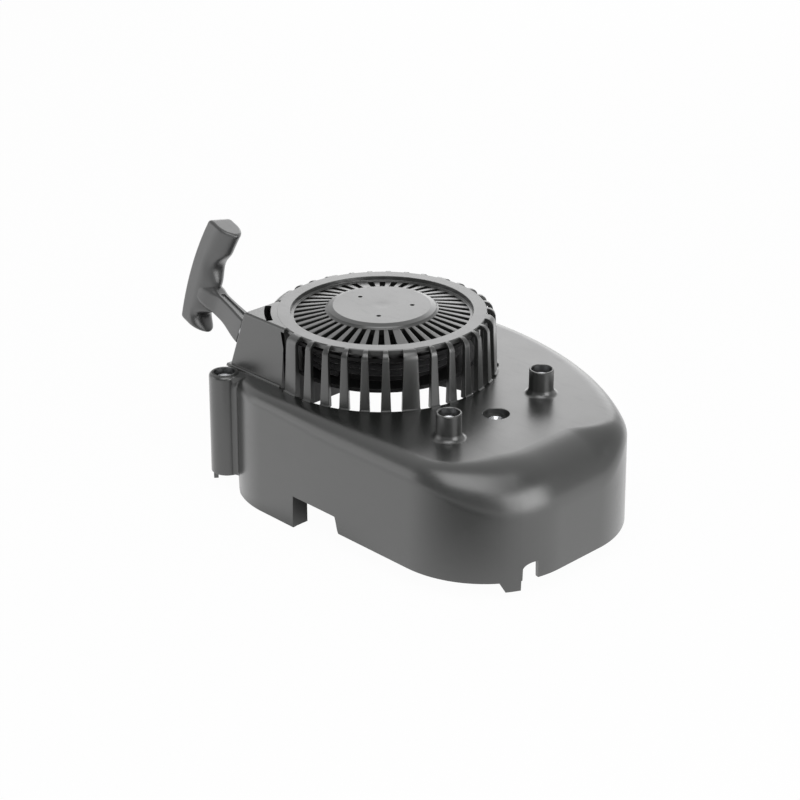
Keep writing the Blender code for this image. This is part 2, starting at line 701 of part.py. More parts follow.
def build_cowl(material):
    cowl = build_shell(material)
    add_columns(cowl)
    add_plate_features(cowl)
    add_box_gusset(cowl)
    cut(cowl, cylinder(OPENING_R, 0.0, PLATE_Z + WALL, CAGE_STEPS))
    cage = build_cage(material)
    back, front = rope_box_angles()
    pitch = CAGE_PITCH / 3
    slots = [a for a in half_turn_angles(CAGE_SLOTS, CAGE_PITCH)
             if not (back - pitch < a % (2 * math.pi) < front + pitch
                     or PLAIN_RING[0] < a % (2 * math.pi) < PLAIN_RING[1])]
    cut(cage, merge([cage_slot(a) for a in slots]))
    cut(cage, merge([grille_slot(a) for a in half_turn_angles(GRILLE_SLOTS, GRILLE_PITCH)]))
    dimples = []
    for angle in DIMPLE_ANGLES:
        place = at(DIMPLE_RING_R * math.cos(angle), DIMPLE_RING_R * math.sin(angle))
        dimples.append(cylinder(DIMPLE_R, DISC_TOP_Z - DIMPLE_DEPTH, DISC_TOP_Z + WALL, 12, place))
    cut(cage, merge(dimples))
    add_rope_box(cage)
    add_post(cage)
    combine(cowl, cage, "UNION")
    cowl.data.materials.clear()
    cowl.data.materials.append(material)
    return cowl


# Fixed metal pieces and the rope guide


def guide_matrix():
    """Frame on the pull line: local Z runs outwards along the pull, zero at the guide's outer face."""
    share = GUIDE_RISE / CAGE_H
    seat = Vector((BOX_END_X + BOX_END_LEAN * share, BOX_FRONT_Y + GUIDE_SETBACK, PLATE_Z + GUIDE_RISE))
    columns = Matrix((BAR_SIDE.cross(PULL_DIR), BAR_SIDE, PULL_DIR)).transposed()
    return Matrix.Translation(seat + PULL_DIR * GUIDE_PROUD) @ columns.to_4x4()


def build_bushes(zinc):
    pieces = []
    for name, (centre, _, foot) in column_places().items():
        bm = sleeve(BUSH_BORE_R, BUSH_R, foot, BUSH_TOP_Z, 24)
        pieces.append(add_object(f"{name}_column_bush", bm, zinc))
        pieces[-1].location = (centre.x, centre.y, 0.0)
    top = PLATE_Z - PLATE_RECESS_DEPTH
    bush = add_object("plate_bush", sleeve(BUSH_BORE_R, PLATE_BUSH_R, top - PLATE_BUSH_L, top, 24), zinc)
    bush.location = (PLATE_BUSH_X, PLATE_BUSH_Y, 0.0)
    pieces.append(bush)
    top = PLATE_Z + BOSS_H - INSERT_DEPTH
    for name, spot in (("near_boss_insert", NEAR_BOSS), ("far_boss_insert", FAR_BOSS)):
        bm = sleeve(INSERT_BORE_R, BOSS_BORE_R - SEAT_GAP, top - INSERT_L, top, 24)
        pieces.append(add_object(name, bm, zinc))
        pieces[-1].location = (*spot, 0.0)
    return pieces


def build_rope_guide(material):
    bore = ROPE_R + GUIDE_PLAY
    lip = GUIDE_FLANGE_T / 2
    profile = [(bore, -GUIDE_L), (GUIDE_TUBE_R, -GUIDE_L), (GUIDE_TUBE_R, -GUIDE_FLANGE_T),
               (GUIDE_FLANGE_R, -GUIDE_FLANGE_T), (GUIDE_FLANGE_R, -lip), (GUIDE_FLANGE_R - lip, 0.0),
               (bore + lip, 0.0), (bore, -lip)]
    guide = add_object("rope_guide", turned(profile, 24), material)
    guide.matrix_world = guide_matrix()
    return guide


# Pulley, rope and recoil spring


def build_pulley(material):
    bore = POST_R + RUN_GAP
    hub_top = CUP_TOP_Z
    profile = [(bore, PULLEY_Z), (HUB_R, PULLEY_Z), (HUB_R, WEB_Z), (DRUM_R - DRUM_T, WEB_Z),
               (DRUM_R - DRUM_T, PULLEY_Z), (FLANGE_R, PULLEY_Z), (FLANGE_R, GROOVE_Z), (DRUM_R, GROOVE_Z),
               (DRUM_R, UPPER_FLANGE_Z), (FLANGE_R, UPPER_FLANGE_Z), (FLANGE_R, UPPER_FLANGE_Z + FLANGE_T),
               (DRUM_R - DRUM_T, UPPER_FLANGE_Z + FLANGE_T), (DRUM_R - DRUM_T, WEB_TOP_Z), (CUP_R, WEB_TOP_Z),
               (CUP_R, CUP_TOP_Z), (CUP_R - CUP_T, CUP_TOP_Z), (CUP_R - CUP_T, WEB_TOP_Z), (HUB_R, WEB_TOP_Z),
               (HUB_R, hub_top), (bore, hub_top)]
    pulley = add_object("rope_pulley", turned(profile, 40), material)
    for turn in pawl_turns():
        place = Matrix.Rotation(turn, 4, "Z") @ at(PAWL_CIRCLE_R, 0.0)
        join(pulley, cylinder(PAWL_BOSS_R, PAWL_TOP_Z + SEAT_GAP, WEB_Z + WEB_T / 2, 24, place))
        cut(pulley, cylinder(PAWL_PIN_R + SEAT_GAP, PAWL_Z, WEB_Z, 20, place))
    reach = (DRUM_R + DRUM_R - DRUM_T) / 2
    hole = cylinder(ROPE_R + SEAT_GAP, -DRUM_T, DRUM_T, 16, Matrix.Rotation(math.pi / 2, 4, "Y"))
    bmesh.ops.translate(hole, vec=(reach, 0.0, WIND_Z), verts=hole.verts)
    bmesh.ops.rotate(hole, matrix=Matrix.Rotation(winding_start(), 3, "Z"), verts=hole.verts)
    cut(pulley, hole)
    return pulley


def lead_off():
    """Where the rope leaves the winding: the tangent point that looks at the guide."""
    guide = guide_matrix().translation
    reach = math.hypot(guide.x, guide.y)
    return math.atan2(guide.y, guide.x) + math.acos(WIND_R / reach)


def winding_start():
    return lead_off() + 2 * math.pi * WIND_TURNS


def winding_points():
    """The outer layer of rope: a helix up the drum with a short straight end at each side."""

    def travel(angle):
        return Vector((math.sin(angle), -math.cos(angle), 0.0))

    points = []
    for k in range(WIND_TURNS * LOOP_POINTS + 1):
        angle = winding_start() - 2 * math.pi * k / LOOP_POINTS
        height = WIND_Z + WIND_PITCH * k / LOOP_POINTS
        points.append(Vector((WIND_R * math.cos(angle), WIND_R * math.sin(angle), height)))
    first = points[0] - travel(winding_start()) * ROPE_D
    last = points[-1] + travel(lead_off()) * ROPE_D
    return [first] + points + [last]


def least_gap(points, radius, turn_points):
    """Smallest clear distance between the tube and a neighbouring turn of itself."""
    gaps = []
    for i, a in enumerate(points):
        for b in points[i + turn_points // 2:]:
            gaps.append((a - b).length - 2 * radius)
    return min(gaps)


def tube(name, points, radius, resolution, material):
    curve = bpy.data.curves.new(name, "CURVE")
    curve.dimensions = "3D"
    curve.bevel_depth = radius
    curve.bevel_resolution = resolution
    curve.use_fill_caps = True
    spline = curve.splines.new("POLY")
    spline.points.add(len(points) - 1)
    for slot, point in zip(spline.points, points):
        slot.co = (*point, 1.0)
    curve.materials.append(material)
    obj = bpy.data.objects.new(name, curve)
    bpy.context.scene.collection.objects.link(obj)
    return obj


def spline_through(points, count):
    """Evenly counted points on a smooth curve through the given ones."""
    padded = [points[0] * 2 - points[1]] + points + [points[-1] * 2 - points[-2]]
    spans = len(points) - 1
    result = []
    for k in range(count + 1):
        t = spans * k / count
        i = min(int(t), spans - 1)
        u = t - i
        a, b, c, d = padded[i:i + 4]
        bend = (2 * a - 5 * b + 4 * c - d) * u**2 + (3 * b - a - 3 * c + d) * u**3
        result.append(0.5 * (2 * b + (c - a) * u + bend))
    return result


def build_rope(material):
    winding = winding_points()
    gap = least_gap(winding, ROPE_R, LOOP_POINTS)
    print("least gap between turns of rope_winding:", round(gap * 1000, 3), "mm")
    pieces = [tube("rope_winding", winding, ROPE_R, 1, material)]
    seat = guide_matrix()
    begin = winding[-1]
    away = (winding[-1] - winding[-2]).normalized()
    depths = (-GUIDE_L - ROPE_R / 2, -GUIDE_L / 2, -SEAT_GAP)
    mouth, middle, outlet = [seat @ Vector((0.0, 0.0, z)) for z in depths]
    route = [begin + away * reach for reach in (SEAT_GAP, 3 * ROPE_D, 6 * ROPE_D)]
    route += [route[-1].lerp(mouth, share) for share in (0.35, 0.65, 0.88)] + [mouth, middle, outlet]
    pieces.append(tube("rope_run", spline_through(route, 16), ROPE_R, 2, material))
    knot_at = grip_face(0.0) - POCKET_DEPTH
    tail = [seat @ Vector((0.0, 0.0, SEAT_GAP + knot_at * k / 4)) for k in range(4)]
    tail.append(seat @ Vector((0.0, 0.0, knot_at)))
    pieces.append(tube("rope_tail", tail, ROPE_R, 2, material))
    knot = add_object("pulley_knot", knot_solid(), material)
    angle = winding_start()
    knot_r = DRUM_R - DRUM_T - SEAT_GAP - KNOT_R
    knot.location = (knot_r * math.cos(angle), knot_r * math.sin(angle), WIND_Z)
    pieces.append(knot)
    knot = add_object("handle_knot", knot_solid(), material)
    knot.location = seat @ Vector((0.0, 0.0, knot_at + SEAT_GAP + KNOT_R))
    pieces.append(knot)
    return pieces


def knot_solid():
    """A pulled-tight knot, drawn as a lumpy ball."""
    bm = bmesh.new()
    bmesh.ops.create_uvsphere(bm, u_segments=12, v_segments=8, radius=KNOT_R)
    for vert in bm.verts:
        angle = math.atan2(vert.co.y, vert.co.x)
        swell = 0.93 + 0.07 * math.sin(3 * angle + vert.co.z / KNOT_R)
        vert.co.x *= swell
        vert.co.y *= swell
    return bm


def build_recoil_spring(material):
    """A flat strip wound in a spiral between the hub and the cup."""
    inner = HUB_R + SEAT_GAP + SPRING_T
    outer = CUP_R - CUP_T - SEAT_GAP - SPRING_T
    low = WEB_TOP_Z + SEAT_GAP
    high = CUP_TOP_Z - SEAT_GAP
    count = SPRING_TURNS * SPRING_TURN_POINTS
    rows = []
    for k in range(count + 1):
        angle = 2 * math.pi * k / SPRING_TURN_POINTS
        radius = inner + (outer - inner) * k / count
        ring = []
        near = radius - SPRING_T / 2
        far = radius + SPRING_T / 2
        for r, z in ((near, low), (far, low), (far, high), (near, high)):
            ring.append((r * math.cos(angle), r * math.sin(angle), z))
        rows.append(ring)
    return add_object("recoil_spring", loft(rows), material)


# Pawls, pawl guide and centre screw


def pawl_turns():
    return (0.0, math.pi)


def pawl_outline(eye, tip, reach):
    """A lever: a round eye at the pivot, tapering to a blunt tip."""
    lean = math.asin((eye - tip) / reach)
    side = math.pi / 2 - lean
    far = arc((reach, 0.0), tip, -side, side, 5)
    near = arc((0.0, 0.0), eye, side, 2 * math.pi - side, 12)
    return far + near


def build_pawls(steel, spring_steel):
    pieces = []
    for index, turn in enumerate(pawl_turns(), start=1):
        spot = Matrix.Rotation(turn, 4, "Z") @ Vector((PAWL_CIRCLE_R, 0.0, 0.0))
        outline = pawl_outline(PAWL_EYE_R, PAWL_TIP_W / 2, PAWL_L)
        pawl = add_object(f"starter_pawl_{index}", prism(outline, PAWL_Z, PAWL_TOP_Z), steel)
        cut(pawl, cylinder(PAWL_PIN_R + SEAT_GAP, PAWL_Z - WALL, PAWL_TOP_Z + WALL, 20))
        join(pawl, cylinder(PEG_R, GUIDE_PLATE_Z, PAWL_Z + WALL / 2, 12, at(PEG_REACH, 0.0)))
        pawl.data.materials.clear()
        pawl.data.materials.append(steel)
        pawl.location = spot
        pawl.rotation_euler = (0.0, 0.0, turn + PAWL_AIM)
        shank = cylinder(PAWL_PIN_R, PAWL_Z + SEAT_GAP, WEB_Z - SEAT_GAP, 20)
        pin = add_object(f"pawl_pin_{index}", shank, steel)
        pin.location = spot
        coil_z = PULLEY_Z + PAWL_WIRE_R
        coil = coil_points(PAWL_BOSS_R, PAWL_WIRE_R, coil_z, PAWL_SPRING_PITCH, PAWL_SPRING_TURNS)
        spring = tube(f"pawl_spring_{index}", coil, PAWL_WIRE_R, 1, spring_steel)
        spring.location = spot
        pieces += [pawl, pin, spring]
    gap = least_gap(coil, PAWL_WIRE_R, CURL_POINTS)
    print("least gap between curls of a pawl spring:", round(gap * 1000, 3), "mm")
    return pieces


def coil_points(core, wire, low, pitch, turns):
    """A helix of wire round a core, wide enough for its straight facets to clear the core."""
    radius = (core + SEAT_GAP + wire) / math.cos(math.pi / CURL_POINTS)
    points = []
    for k in range(turns * CURL_POINTS + 1):
        angle = 2 * math.pi * k / CURL_POINTS
        height = low + pitch * k / CURL_POINTS
        points.append(Vector((radius * math.cos(angle), radius * math.sin(angle), height)))
    return points


def peg_path(steps):
    """Track of a pawl's peg seen from the pawl guide, as the guide turns and the pawl swings out."""
    path = []
    for k in range(steps + 1):
        share = k / steps
        aim = PAWL_AIM - PAWL_SWING * share
        peg = Vector((PAWL_CIRCLE_R + PEG_REACH * math.cos(aim), PEG_REACH * math.sin(aim)))
        path.append(Matrix.Rotation(-GUIDE_TURN * share, 2) @ peg)
    return path


def build_pawl_guide(material):
    bore = POST_R + RUN_GAP
    plate = sleeve(bore, GUIDE_PLATE_R, GUIDE_PLATE_Z, GUIDE_PLATE_TOP_Z, 36)
    guide = add_object("pawl_guide", plate, material)
    path = peg_path(8)
    half = PEG_R + 2 * RUN_GAP
    path.insert(0, path[0] + (path[0] - path[1]).normalized() * half)
    path.append(path[-1] + (path[-1] - path[-2]).normalized() * half)
    left, right = [], []
    for i, point in enumerate(path):
        along = (path[min(i + 1, len(path) - 1)] - path[max(i - 1, 0)]).normalized()
        side = Vector((-along.y, along.x)) * half
        left.append(point + side)
        right.append(point - side)
    for turn in pawl_turns():
        slot = prism([(p.x, p.y) for p in left + right[::-1]], GUIDE_PLATE_Z - WALL, GUIDE_PLATE_TOP_Z + WALL)
        bmesh.ops.rotate(slot, matrix=Matrix.Rotation(turn, 3, "Z"), verts=slot.verts)
        cut(guide, slot)
    return guide


def build_centre(steel, spring_steel):
    low = GUIDE_PLATE_TOP_Z + SEAT_GAP + BRAKE_WIRE_R
    high = PULLEY_Z - SEAT_GAP - BRAKE_WIRE_R
    coil = coil_points(POST_R, BRAKE_WIRE_R, low, (high - low) / BRAKE_TURNS, BRAKE_TURNS)
    gap = least_gap(coil, BRAKE_WIRE_R, CURL_POINTS)
    print("least gap between curls of brake_spring:", round(gap * 1000, 3), "mm")
    pieces = [tube("brake_spring", coil, BRAKE_WIRE_R, 1, spring_steel)]
    washer = sleeve(SCREW_R + SEAT_GAP, WASHER_R, WASHER_TOP_Z - WASHER_T, WASHER_TOP_Z, 24)
    pieces.append(add_object("centre_washer", washer, steel))
    rows = []
    for radius, height, hexed in ((SCREW_HEAD_ACROSS / 2, SCREW_SEAT_Z - SCREW_HEAD_H, True),
                                  (SCREW_HEAD_ACROSS / 2, SCREW_SEAT_Z, True), (SCREW_R, SCREW_SEAT_Z, False),
                                  (SCREW_R, SCREW_SEAT_Z + SCREW_L, False)):
        ring = []
        for k in range(24):
            angle = 2 * math.pi * k / 24
            reach = radius / math.cos(angle % (math.pi / 3) - math.pi / 6) if hexed else radius
            ring.append((reach * math.cos(angle), reach * math.sin(angle), height))
        rows.append(ring)
    pieces.append(add_object("centre_screw", loft(rows), steel))
    return pieces


# Handle


def rounded_ring(x, y_half, z_low, z_high, corner, steps=3):
    """A rounded rectangle of points across the stem at one distance along it."""
    ring = []
    corners = ((y_half - corner, z_high - corner, 0.0), (-y_half + corner, z_high - corner, math.pi / 2),
               (-y_half + corner, z_low + corner, math.pi), (y_half - corner, z_low + corner, 1.5 * math.pi))
    for cy, cz, start in corners:
        ring += [(x, y, z) for y, z in arc((cy, cz), corner, start, start + math.pi / 2, steps)]
    return ring


def grip_face(z):
    """Distance along the pull to the grip's outer face, which bows outwards between its ends."""
    middle = (BAR_UP - BAR_DOWN) / 2
    half = (BAR_UP + BAR_DOWN) / 2
    return BAR_REACH + BAR_BOW * (1 - ((z - middle) / half) ** 2)


def hollow_share(z, hollow):
    """How far a finger hollow is cut in at one height, from 0 at its ends to 1 in its middle."""
    centre, half, _ = hollow
    return 0.5 * (1 + math.cos(math.pi * min(1.0, abs(z - centre) / half)))


def bar_ring(z, shrink=1.0):
    """Section of the grip at one height: flat outside, with flanks that draw in to a round finger side."""
    upper = hollow_share(z, UPPER_HOLLOW)
    lower = hollow_share(z, LOWER_HOLLOW)
    depth = BAR_DEPTH - UPPER_HOLLOW[2] * upper - LOWER_HOLLOW[2] * lower
    blunt = max(upper, lower)
    half = BAR_HALF_Y
    flank = [(-BAR_EDGE, half), (-BAR_FLANK, half)]
    for share in (0.45, 0.75, 0.93):
        width = (1 - share ** (1.8 + 1.2 * blunt)) ** (1 / (1.2 + 1.6 * blunt))
        flank.append((-BAR_FLANK - (depth - BAR_FLANK) * share, half * width))
    outline = [(0.0, half - BAR_EDGE)] + flank + [(-depth, 0.0)]
    outline += [(x, -y) for x, y in reversed(flank)] + [(0.0, BAR_EDGE - half)]
    middle = depth / 2
    return [(grip_face(z) - middle + (x + middle) * shrink, y * shrink, z) for x, y in outline]


def build_handle(grip, material, rubber):
    length = BAR_UP + BAR_DOWN
    heights = [-BAR_DOWN + length * k / BAR_ROWS for k in range(BAR_ROWS + 1)]
    shrink = 1 - BAR_EDGE / BAR_HALF_Y
    rows = [bar_ring(-BAR_DOWN, shrink), bar_ring(BAR_EDGE - BAR_DOWN)]
    rows += [bar_ring(z) for z in heights[1:-1]]
    rows += [bar_ring(BAR_UP - BAR_EDGE), bar_ring(BAR_UP, shrink)]
    handle = add_object("pull_handle", loft(rows), material)
    root = BAR_REACH - BAR_DEPTH
    sections = [(SEAT_GAP, NOSE_HALF_Y, NOSE_HALF_Z), (NOSE_L / 2, NOSE_HALF_Y, NOSE_HALF_Z),
                (NOSE_L, STEM_HALF_Y, STEM_HALF_Z), (root - STEM_ROOT_L, STEM_HALF_Y, STEM_HALF_Z),
                (root, STEM_HALF_Y, (STEM_HALF_Z + STEM_ROOT_Z) / 2),
                (root + STEM_ROOT_L, STEM_HALF_Y, STEM_ROOT_Z)]
    join(handle, loft([rounded_ring(x, y, -z, z, STEM_CORNER) for x, y, z in sections]))
    groove = block(NOSE_L, root - STEM_ROOT_L, -STEM_GROOVE_W / 2, STEM_GROOVE_W / 2,
                   STEM_HALF_Z - STEM_GROOVE_D, STEM_HALF_Z + WALL)
    cut(handle, groove)
    along = Matrix.Rotation(math.pi / 2, 4, "Y")
    back = grip_face(0.0)
    cut(handle, cylinder(ROPE_R + GUIDE_PLAY, -WALL, back, 24, along))
    cut(handle, cylinder(POCKET_R, back - POCKET_DEPTH, back + WALL, 24, along))
    cap_face = back - CAP_SINK
    plug = cylinder(POCKET_R - SEAT_GAP, cap_face - CAP_T, cap_face, 24, along)
    cap = add_object("handle_cap", plug, rubber)
    for piece in (handle, cap):
        piece.parent = grip
    handle.data.materials.clear()
    handle.data.materials.append(material)
    return [handle, cap]


def handle_frame():
    """An empty on the pull line: local X along the pull, local Z up the grip."""
    grip = bpy.data.objects.new("handle_axis", None)
    bpy.context.scene.collection.objects.link(grip)
    columns = Matrix((PULL_DIR, BAR_SIDE, BAR_DIR)).transposed()
    grip.matrix_world = Matrix.Translation(guide_matrix().translation) @ columns.to_4x4()
    return grip


# Assembly


def centre_on_origin(root):
    """Moves the assembly so that its box stands on Z = 0 and is centred on X = Y = 0."""
    bpy.context.view_layer.update()
    depsgraph = bpy.context.evaluated_depsgraph_get()
    low = Vector((math.inf,) * 3)
    high = -low
    for obj in bpy.context.scene.objects:
        if obj.type == "EMPTY":
            continue
        shape = obj.evaluated_get(depsgraph)
        mesh = shape.to_mesh()
        for vert in mesh.vertices:
            spot = shape.matrix_world @ vert.co
            low = Vector(map(min, low, spot))
            high = Vector(map(max, high, spot))
        shape.to_mesh_clear()
    root.location = (-(low.x + high.x) / 2, -(low.y + high.y) / 2, -low.z)
    bpy.context.view_layer.update()


def main():
    clear_scene()
    plastic = make_material("cowl_plastic", (0.020, 0.020, 0.021), 0.42, 0.0)
    pulley_plastic = make_material("pulley_plastic", (0.012, 0.012, 0.012), 0.50, 0.0)
    handle_plastic = make_material("handle_plastic", (0.022, 0.022, 0.023), 0.45, 0.0)
    rope = make_material("rope_fibre", (0.010, 0.010, 0.010), 0.80, 0.0)
    zinc = make_material("zinc_steel", (0.62, 0.64, 0.66), 0.30, 1.0)
    steel = make_material("dark_steel", (0.30, 0.30, 0.31), 0.38, 1.0)
    spring_steel = make_material("spring_steel", (0.36, 0.36, 0.38), 0.32, 1.0)
    build_cowl(plastic)
    build_bushes(zinc)
    build_rope_guide(zinc)
    build_pulley(pulley_plastic)
    build_rope(rope)
    build_recoil_spring(spring_steel)
    build_pawls(steel, spring_steel)
    build_pawl_guide(zinc)
    build_centre(zinc, spring_steel)
    grip = handle_frame()
    build_handle(grip, handle_plastic, pulley_plastic)
    root = bpy.data.objects.new("starter_frame", None)
    bpy.context.scene.collection.objects.link(root)
    for obj in list(bpy.context.scene.objects):
        if obj.parent is None and obj is not root:
            obj.parent = root
    centre_on_origin(root)


main()
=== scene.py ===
"""Looks of a recoil starter moulded into the fan cowl of a small upright-shaft engine.

Metres, +Z up. Pieces are modelled with the pulley's axis on X = Y = 0 and the cowl's feet at Z = 0, and are
then moved onto the frame's own pulley axis.
"""

import json
import math

import bmesh
import bpy
from mathutils import Matrix, Vector


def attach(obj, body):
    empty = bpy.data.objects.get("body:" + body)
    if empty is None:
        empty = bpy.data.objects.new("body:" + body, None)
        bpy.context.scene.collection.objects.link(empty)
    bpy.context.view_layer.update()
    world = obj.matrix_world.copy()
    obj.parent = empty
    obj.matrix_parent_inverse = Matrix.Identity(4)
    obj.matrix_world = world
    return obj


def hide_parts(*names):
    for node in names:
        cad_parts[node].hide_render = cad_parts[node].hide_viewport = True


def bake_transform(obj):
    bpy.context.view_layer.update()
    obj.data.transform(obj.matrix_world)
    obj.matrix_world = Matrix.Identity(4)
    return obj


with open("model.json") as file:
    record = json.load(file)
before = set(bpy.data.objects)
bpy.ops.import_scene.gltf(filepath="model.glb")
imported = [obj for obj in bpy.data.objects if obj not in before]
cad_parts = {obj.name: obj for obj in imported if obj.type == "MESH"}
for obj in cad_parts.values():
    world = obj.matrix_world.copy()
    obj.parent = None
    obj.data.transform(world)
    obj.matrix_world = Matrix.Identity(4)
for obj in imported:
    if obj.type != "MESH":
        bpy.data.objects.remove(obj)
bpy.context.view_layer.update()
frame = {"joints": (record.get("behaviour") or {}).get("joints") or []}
PULLEY_JOINT = next(j for j in frame["joints"] if j["name"] == "pulley_spin")
SHIFT = Vector((*PULLEY_JOINT["pos_m"][:2], 0.0))

# Clearances
SEAT_GAP = 0.0003
RUN_GAP = 0.0004
SINK = 0.0005
WELD = 0.000004
SHY = 0.00005
EDGE = 0.0004

# Cowl shell, seen from above: straight near side, round end, bowed far side
NEAR_SIDE_Y = -0.0905
FAR_SIDE_Y = 0.1145
COWL_END_X = 0.178
COWL_BACK_X = -0.080
NEAR_END_R = 0.064
FAR_END_R = 0.064
FAR_SIDE_R = 0.247
NEAR_BACK_R = 0.062
PLATE_Z = 0.080
WALL = 0.003
DRAFT = math.radians(1.0)
EDGE_R_BACK = 0.0085
EDGE_R_SIDE = 0.013
EDGE_R_END = 0.030
EDGE_STEPS = 14
INNER_STEPS = 6
SKIRT_ROWS = 4
FOOT_ROUND = 0.0005
STATION_STEP = 0.0026

# Lower edge of the skirt
SKIRT_Z = 0.0113
AIR_GAP_Z = 0.0245
AIR_GAP_DROP = 0.007
NOTCH_Z = 0.0217
PANEL_ANGLE = math.radians(31.0)
PANEL_CURVE = math.radians(3.0)
PANEL_END_X = 0.0127
PANEL_RETURN = 0.0125
NOTCH_END_X = 0.0544
NOTCH_BLEND = 0.004
TAB_ANGLES = (math.radians(53.2), math.radians(65.1))
TAB_Z = 0.0050
TAB_SLOPE = math.radians(3.4)
SLOT_ANGLES = (math.radians(65.9), math.radians(75.2))
SLOT_HEIGHT = 0.011
SLOT_ROUND = 0.0045
FAR_FOOT_ANGLES = (math.radians(64.0), math.radians(77.0))
STEP_HALF = 0.0001

# Corner columns, plate screw and bosses
COLUMN_R = 0.010
COLUMN_FOOT_R = 0.0108
COLUMN_ANGLE = math.radians(40.4)
COLUMN_OUT = 0.0058
COLUMN_LAND = 0.0004
COLUMN_BRIDGE = 0.022
COLUMN_ROUND = 0.0026
BUSH_R = 0.0066
BUSH_BORE_R = 0.0034
BUSH_DEPTH = 0.004
BUSH_CONE = 0.0018
COLUMN_FILLET = 0.0036
COLUMN_LUG = (0.0030, 0.0052)
PLATE_BUSH = (0.1025, -0.0025)
PLATE_BUSH_R = 0.00525
PLATE_BUSH_L = 0.026
PLATE_RECESS_R = 0.0085
PLATE_RECESS_DEPTH = 0.004
PILLAR_WALL = 0.003
NEAR_BOSS = (0.1055, -0.0470)
FAR_BOSS = (0.1010, 0.0400)
BOSS_R = 0.00775
BOSS_BORE_R = 0.0064
BOSS_H = 0.0165
BOSS_FLARE_R = 0.0109
BOSS_FLARE_H = 0.004
INSERT_DEPTH = 0.005
INSERT_BORE_R = 0.0032
INSERT_L = 0.010

# Slotted cage
CAGE_R = 0.074
CAGE_FOOT_R = 0.075
CAGE_LEAN = 0.0015
CAGE_H = 0.0385
RIB_T = 0.0042
FOOT_H = 0.001
OPENING_R = 0.0727
SHOULDER_R = 0.0055
RING_T = 0.0032
NOTCH_SLOPE = 0.0005
WIDE_RIB_ANGLE = math.radians(-30.0)
CAGE_GROUP = 6
CAGE_PITCH = math.radians(10.16)
WIDE_RIB_GAP = math.radians(14.2)
INNER_WALL_ANGLE = math.radians(238.0)
RIB_FOOT_W = 0.0065
RIB_TOP_W = 0.0042
PLAIN_RING = (math.radians(198.0), math.radians(212.0))

# Top grille and centre disc
GRILLE_R0 = 0.0362
GRILLE_R1 = 0.0560
GRILLE_RISE = 0.0035
GRILLE_T = 0.0042
GRILLE_SLOTS = 21
GRILLE_PITCH = math.radians(8.4)
GRILLE_OPEN = 0.50
RIM_R = 0.0583
RIM_STEP = 0.0028
DISC_R = 0.0353
DISC_TOP_R = 0.0312
DISC_RISE = 0.0031
DISC_T = 0.003
DISC_DISH_R = 0.0080
DISC_DISH = 0.0002
DIMPLE_R = 0.0015
DIMPLE_RING_R = 0.0193
DIMPLE_DEPTH = 0.0014
DIMPLE_ANGLES = [math.radians(a) for a in (-50.0, 43.0, 182.0)]

# Rope box
BOX_FRONT_Y = -0.0700
BOX_FRONT_LEAN = 0.0037
BOX_BACK_Y = -0.0370
BOX_END_X = -0.0686
BOX_END_LEAN = 0.0112
BOX_INNER_X = -0.018
BOX_WALL = 0.0026
BOX_EDGE = 0.0016
BOX_FOOT_W = 0.0016
BOX_FOOT_H = 0.0014
BOX_HOLE_ANGLES = (math.radians(221.0), math.radians(241.0))
BOX_HOLE_R = (0.0706, 0.0748)
BOX_GUSSET = 0.013

# Pull line, guide and handle
PULL_TILT = math.radians(15.4)
PULL_YAW = math.radians(6.4)
HANDLE_ROLL = math.radians(9.8)
GUIDE_SETBACK = 0.011
GUIDE_RISE = 0.0223
GUIDE_PROUD = 0.0015
GUIDE_FLANGE_R = 0.0065
GUIDE_FLANGE_T = 0.0012
GUIDE_TUBE_R = 0.0046
GUIDE_L = 0.0055
GUIDE_PLAY = 0.0009
STEM_HALF_Y = 0.0046
STEM_HALF_Z = 0.0069
STEM_CORNER = 0.0016
NOSE_HALF_Y = 0.0058
NOSE_DROP = 0.0030
NOSE_L = 0.024
STEM_ROOT_L = 0.006
STEM_ROOT_Z = 0.0080
STEM_ROOT_Y = 0.0084
STEM_ROOT_CORNER = 0.0062
STEM_BLEND_L = 0.0125
STEM_GROOVE_W = 0.0034
STEM_GROOVE_D = 0.0009
BAR_UP = 0.0499
BAR_DOWN = 0.0245
BAR_HALF_Y = 0.0088
BAR_REACH = 0.0558
BAR_BOW = 0.0042
BAR_DEPTH = 0.0224
BAR_FLANK = 0.0090
BAR_EDGE = 0.0022
UPPER_HOLLOW = (0.022, 0.013, 0.0048)
LOWER_HOLLOW = (-0.0165, 0.0080, 0.0080)
POCKET_R = 0.0056
POCKET_DEPTH = 0.011
CAP_T = 0.0025
CAP_SINK = 0.0009

# Rope
ROPE_D = 0.0038
WIND_TURNS = 3
WIND_GAP = 0.0005
GROOVE_PLAY = 0.0005
LOOP_POINTS = 24
KNOT_R = 0.0036

# Pulley and recoil spring
PULLEY_LIFT = 0.007
FLANGE_R = 0.060
FLANGE_T = 0.0025
DRUM_R = 0.047
DRUM_T = 0.003
WEB_LIFT = 0.011
WEB_T = 0.003
HUB_R = 0.013
POST_R = 0.009
CUP_R = 0.0350
CUP_T = 0.002
CUP_DROP = 0.003
SPRING_TURNS = 7
SPRING_T = 0.0008

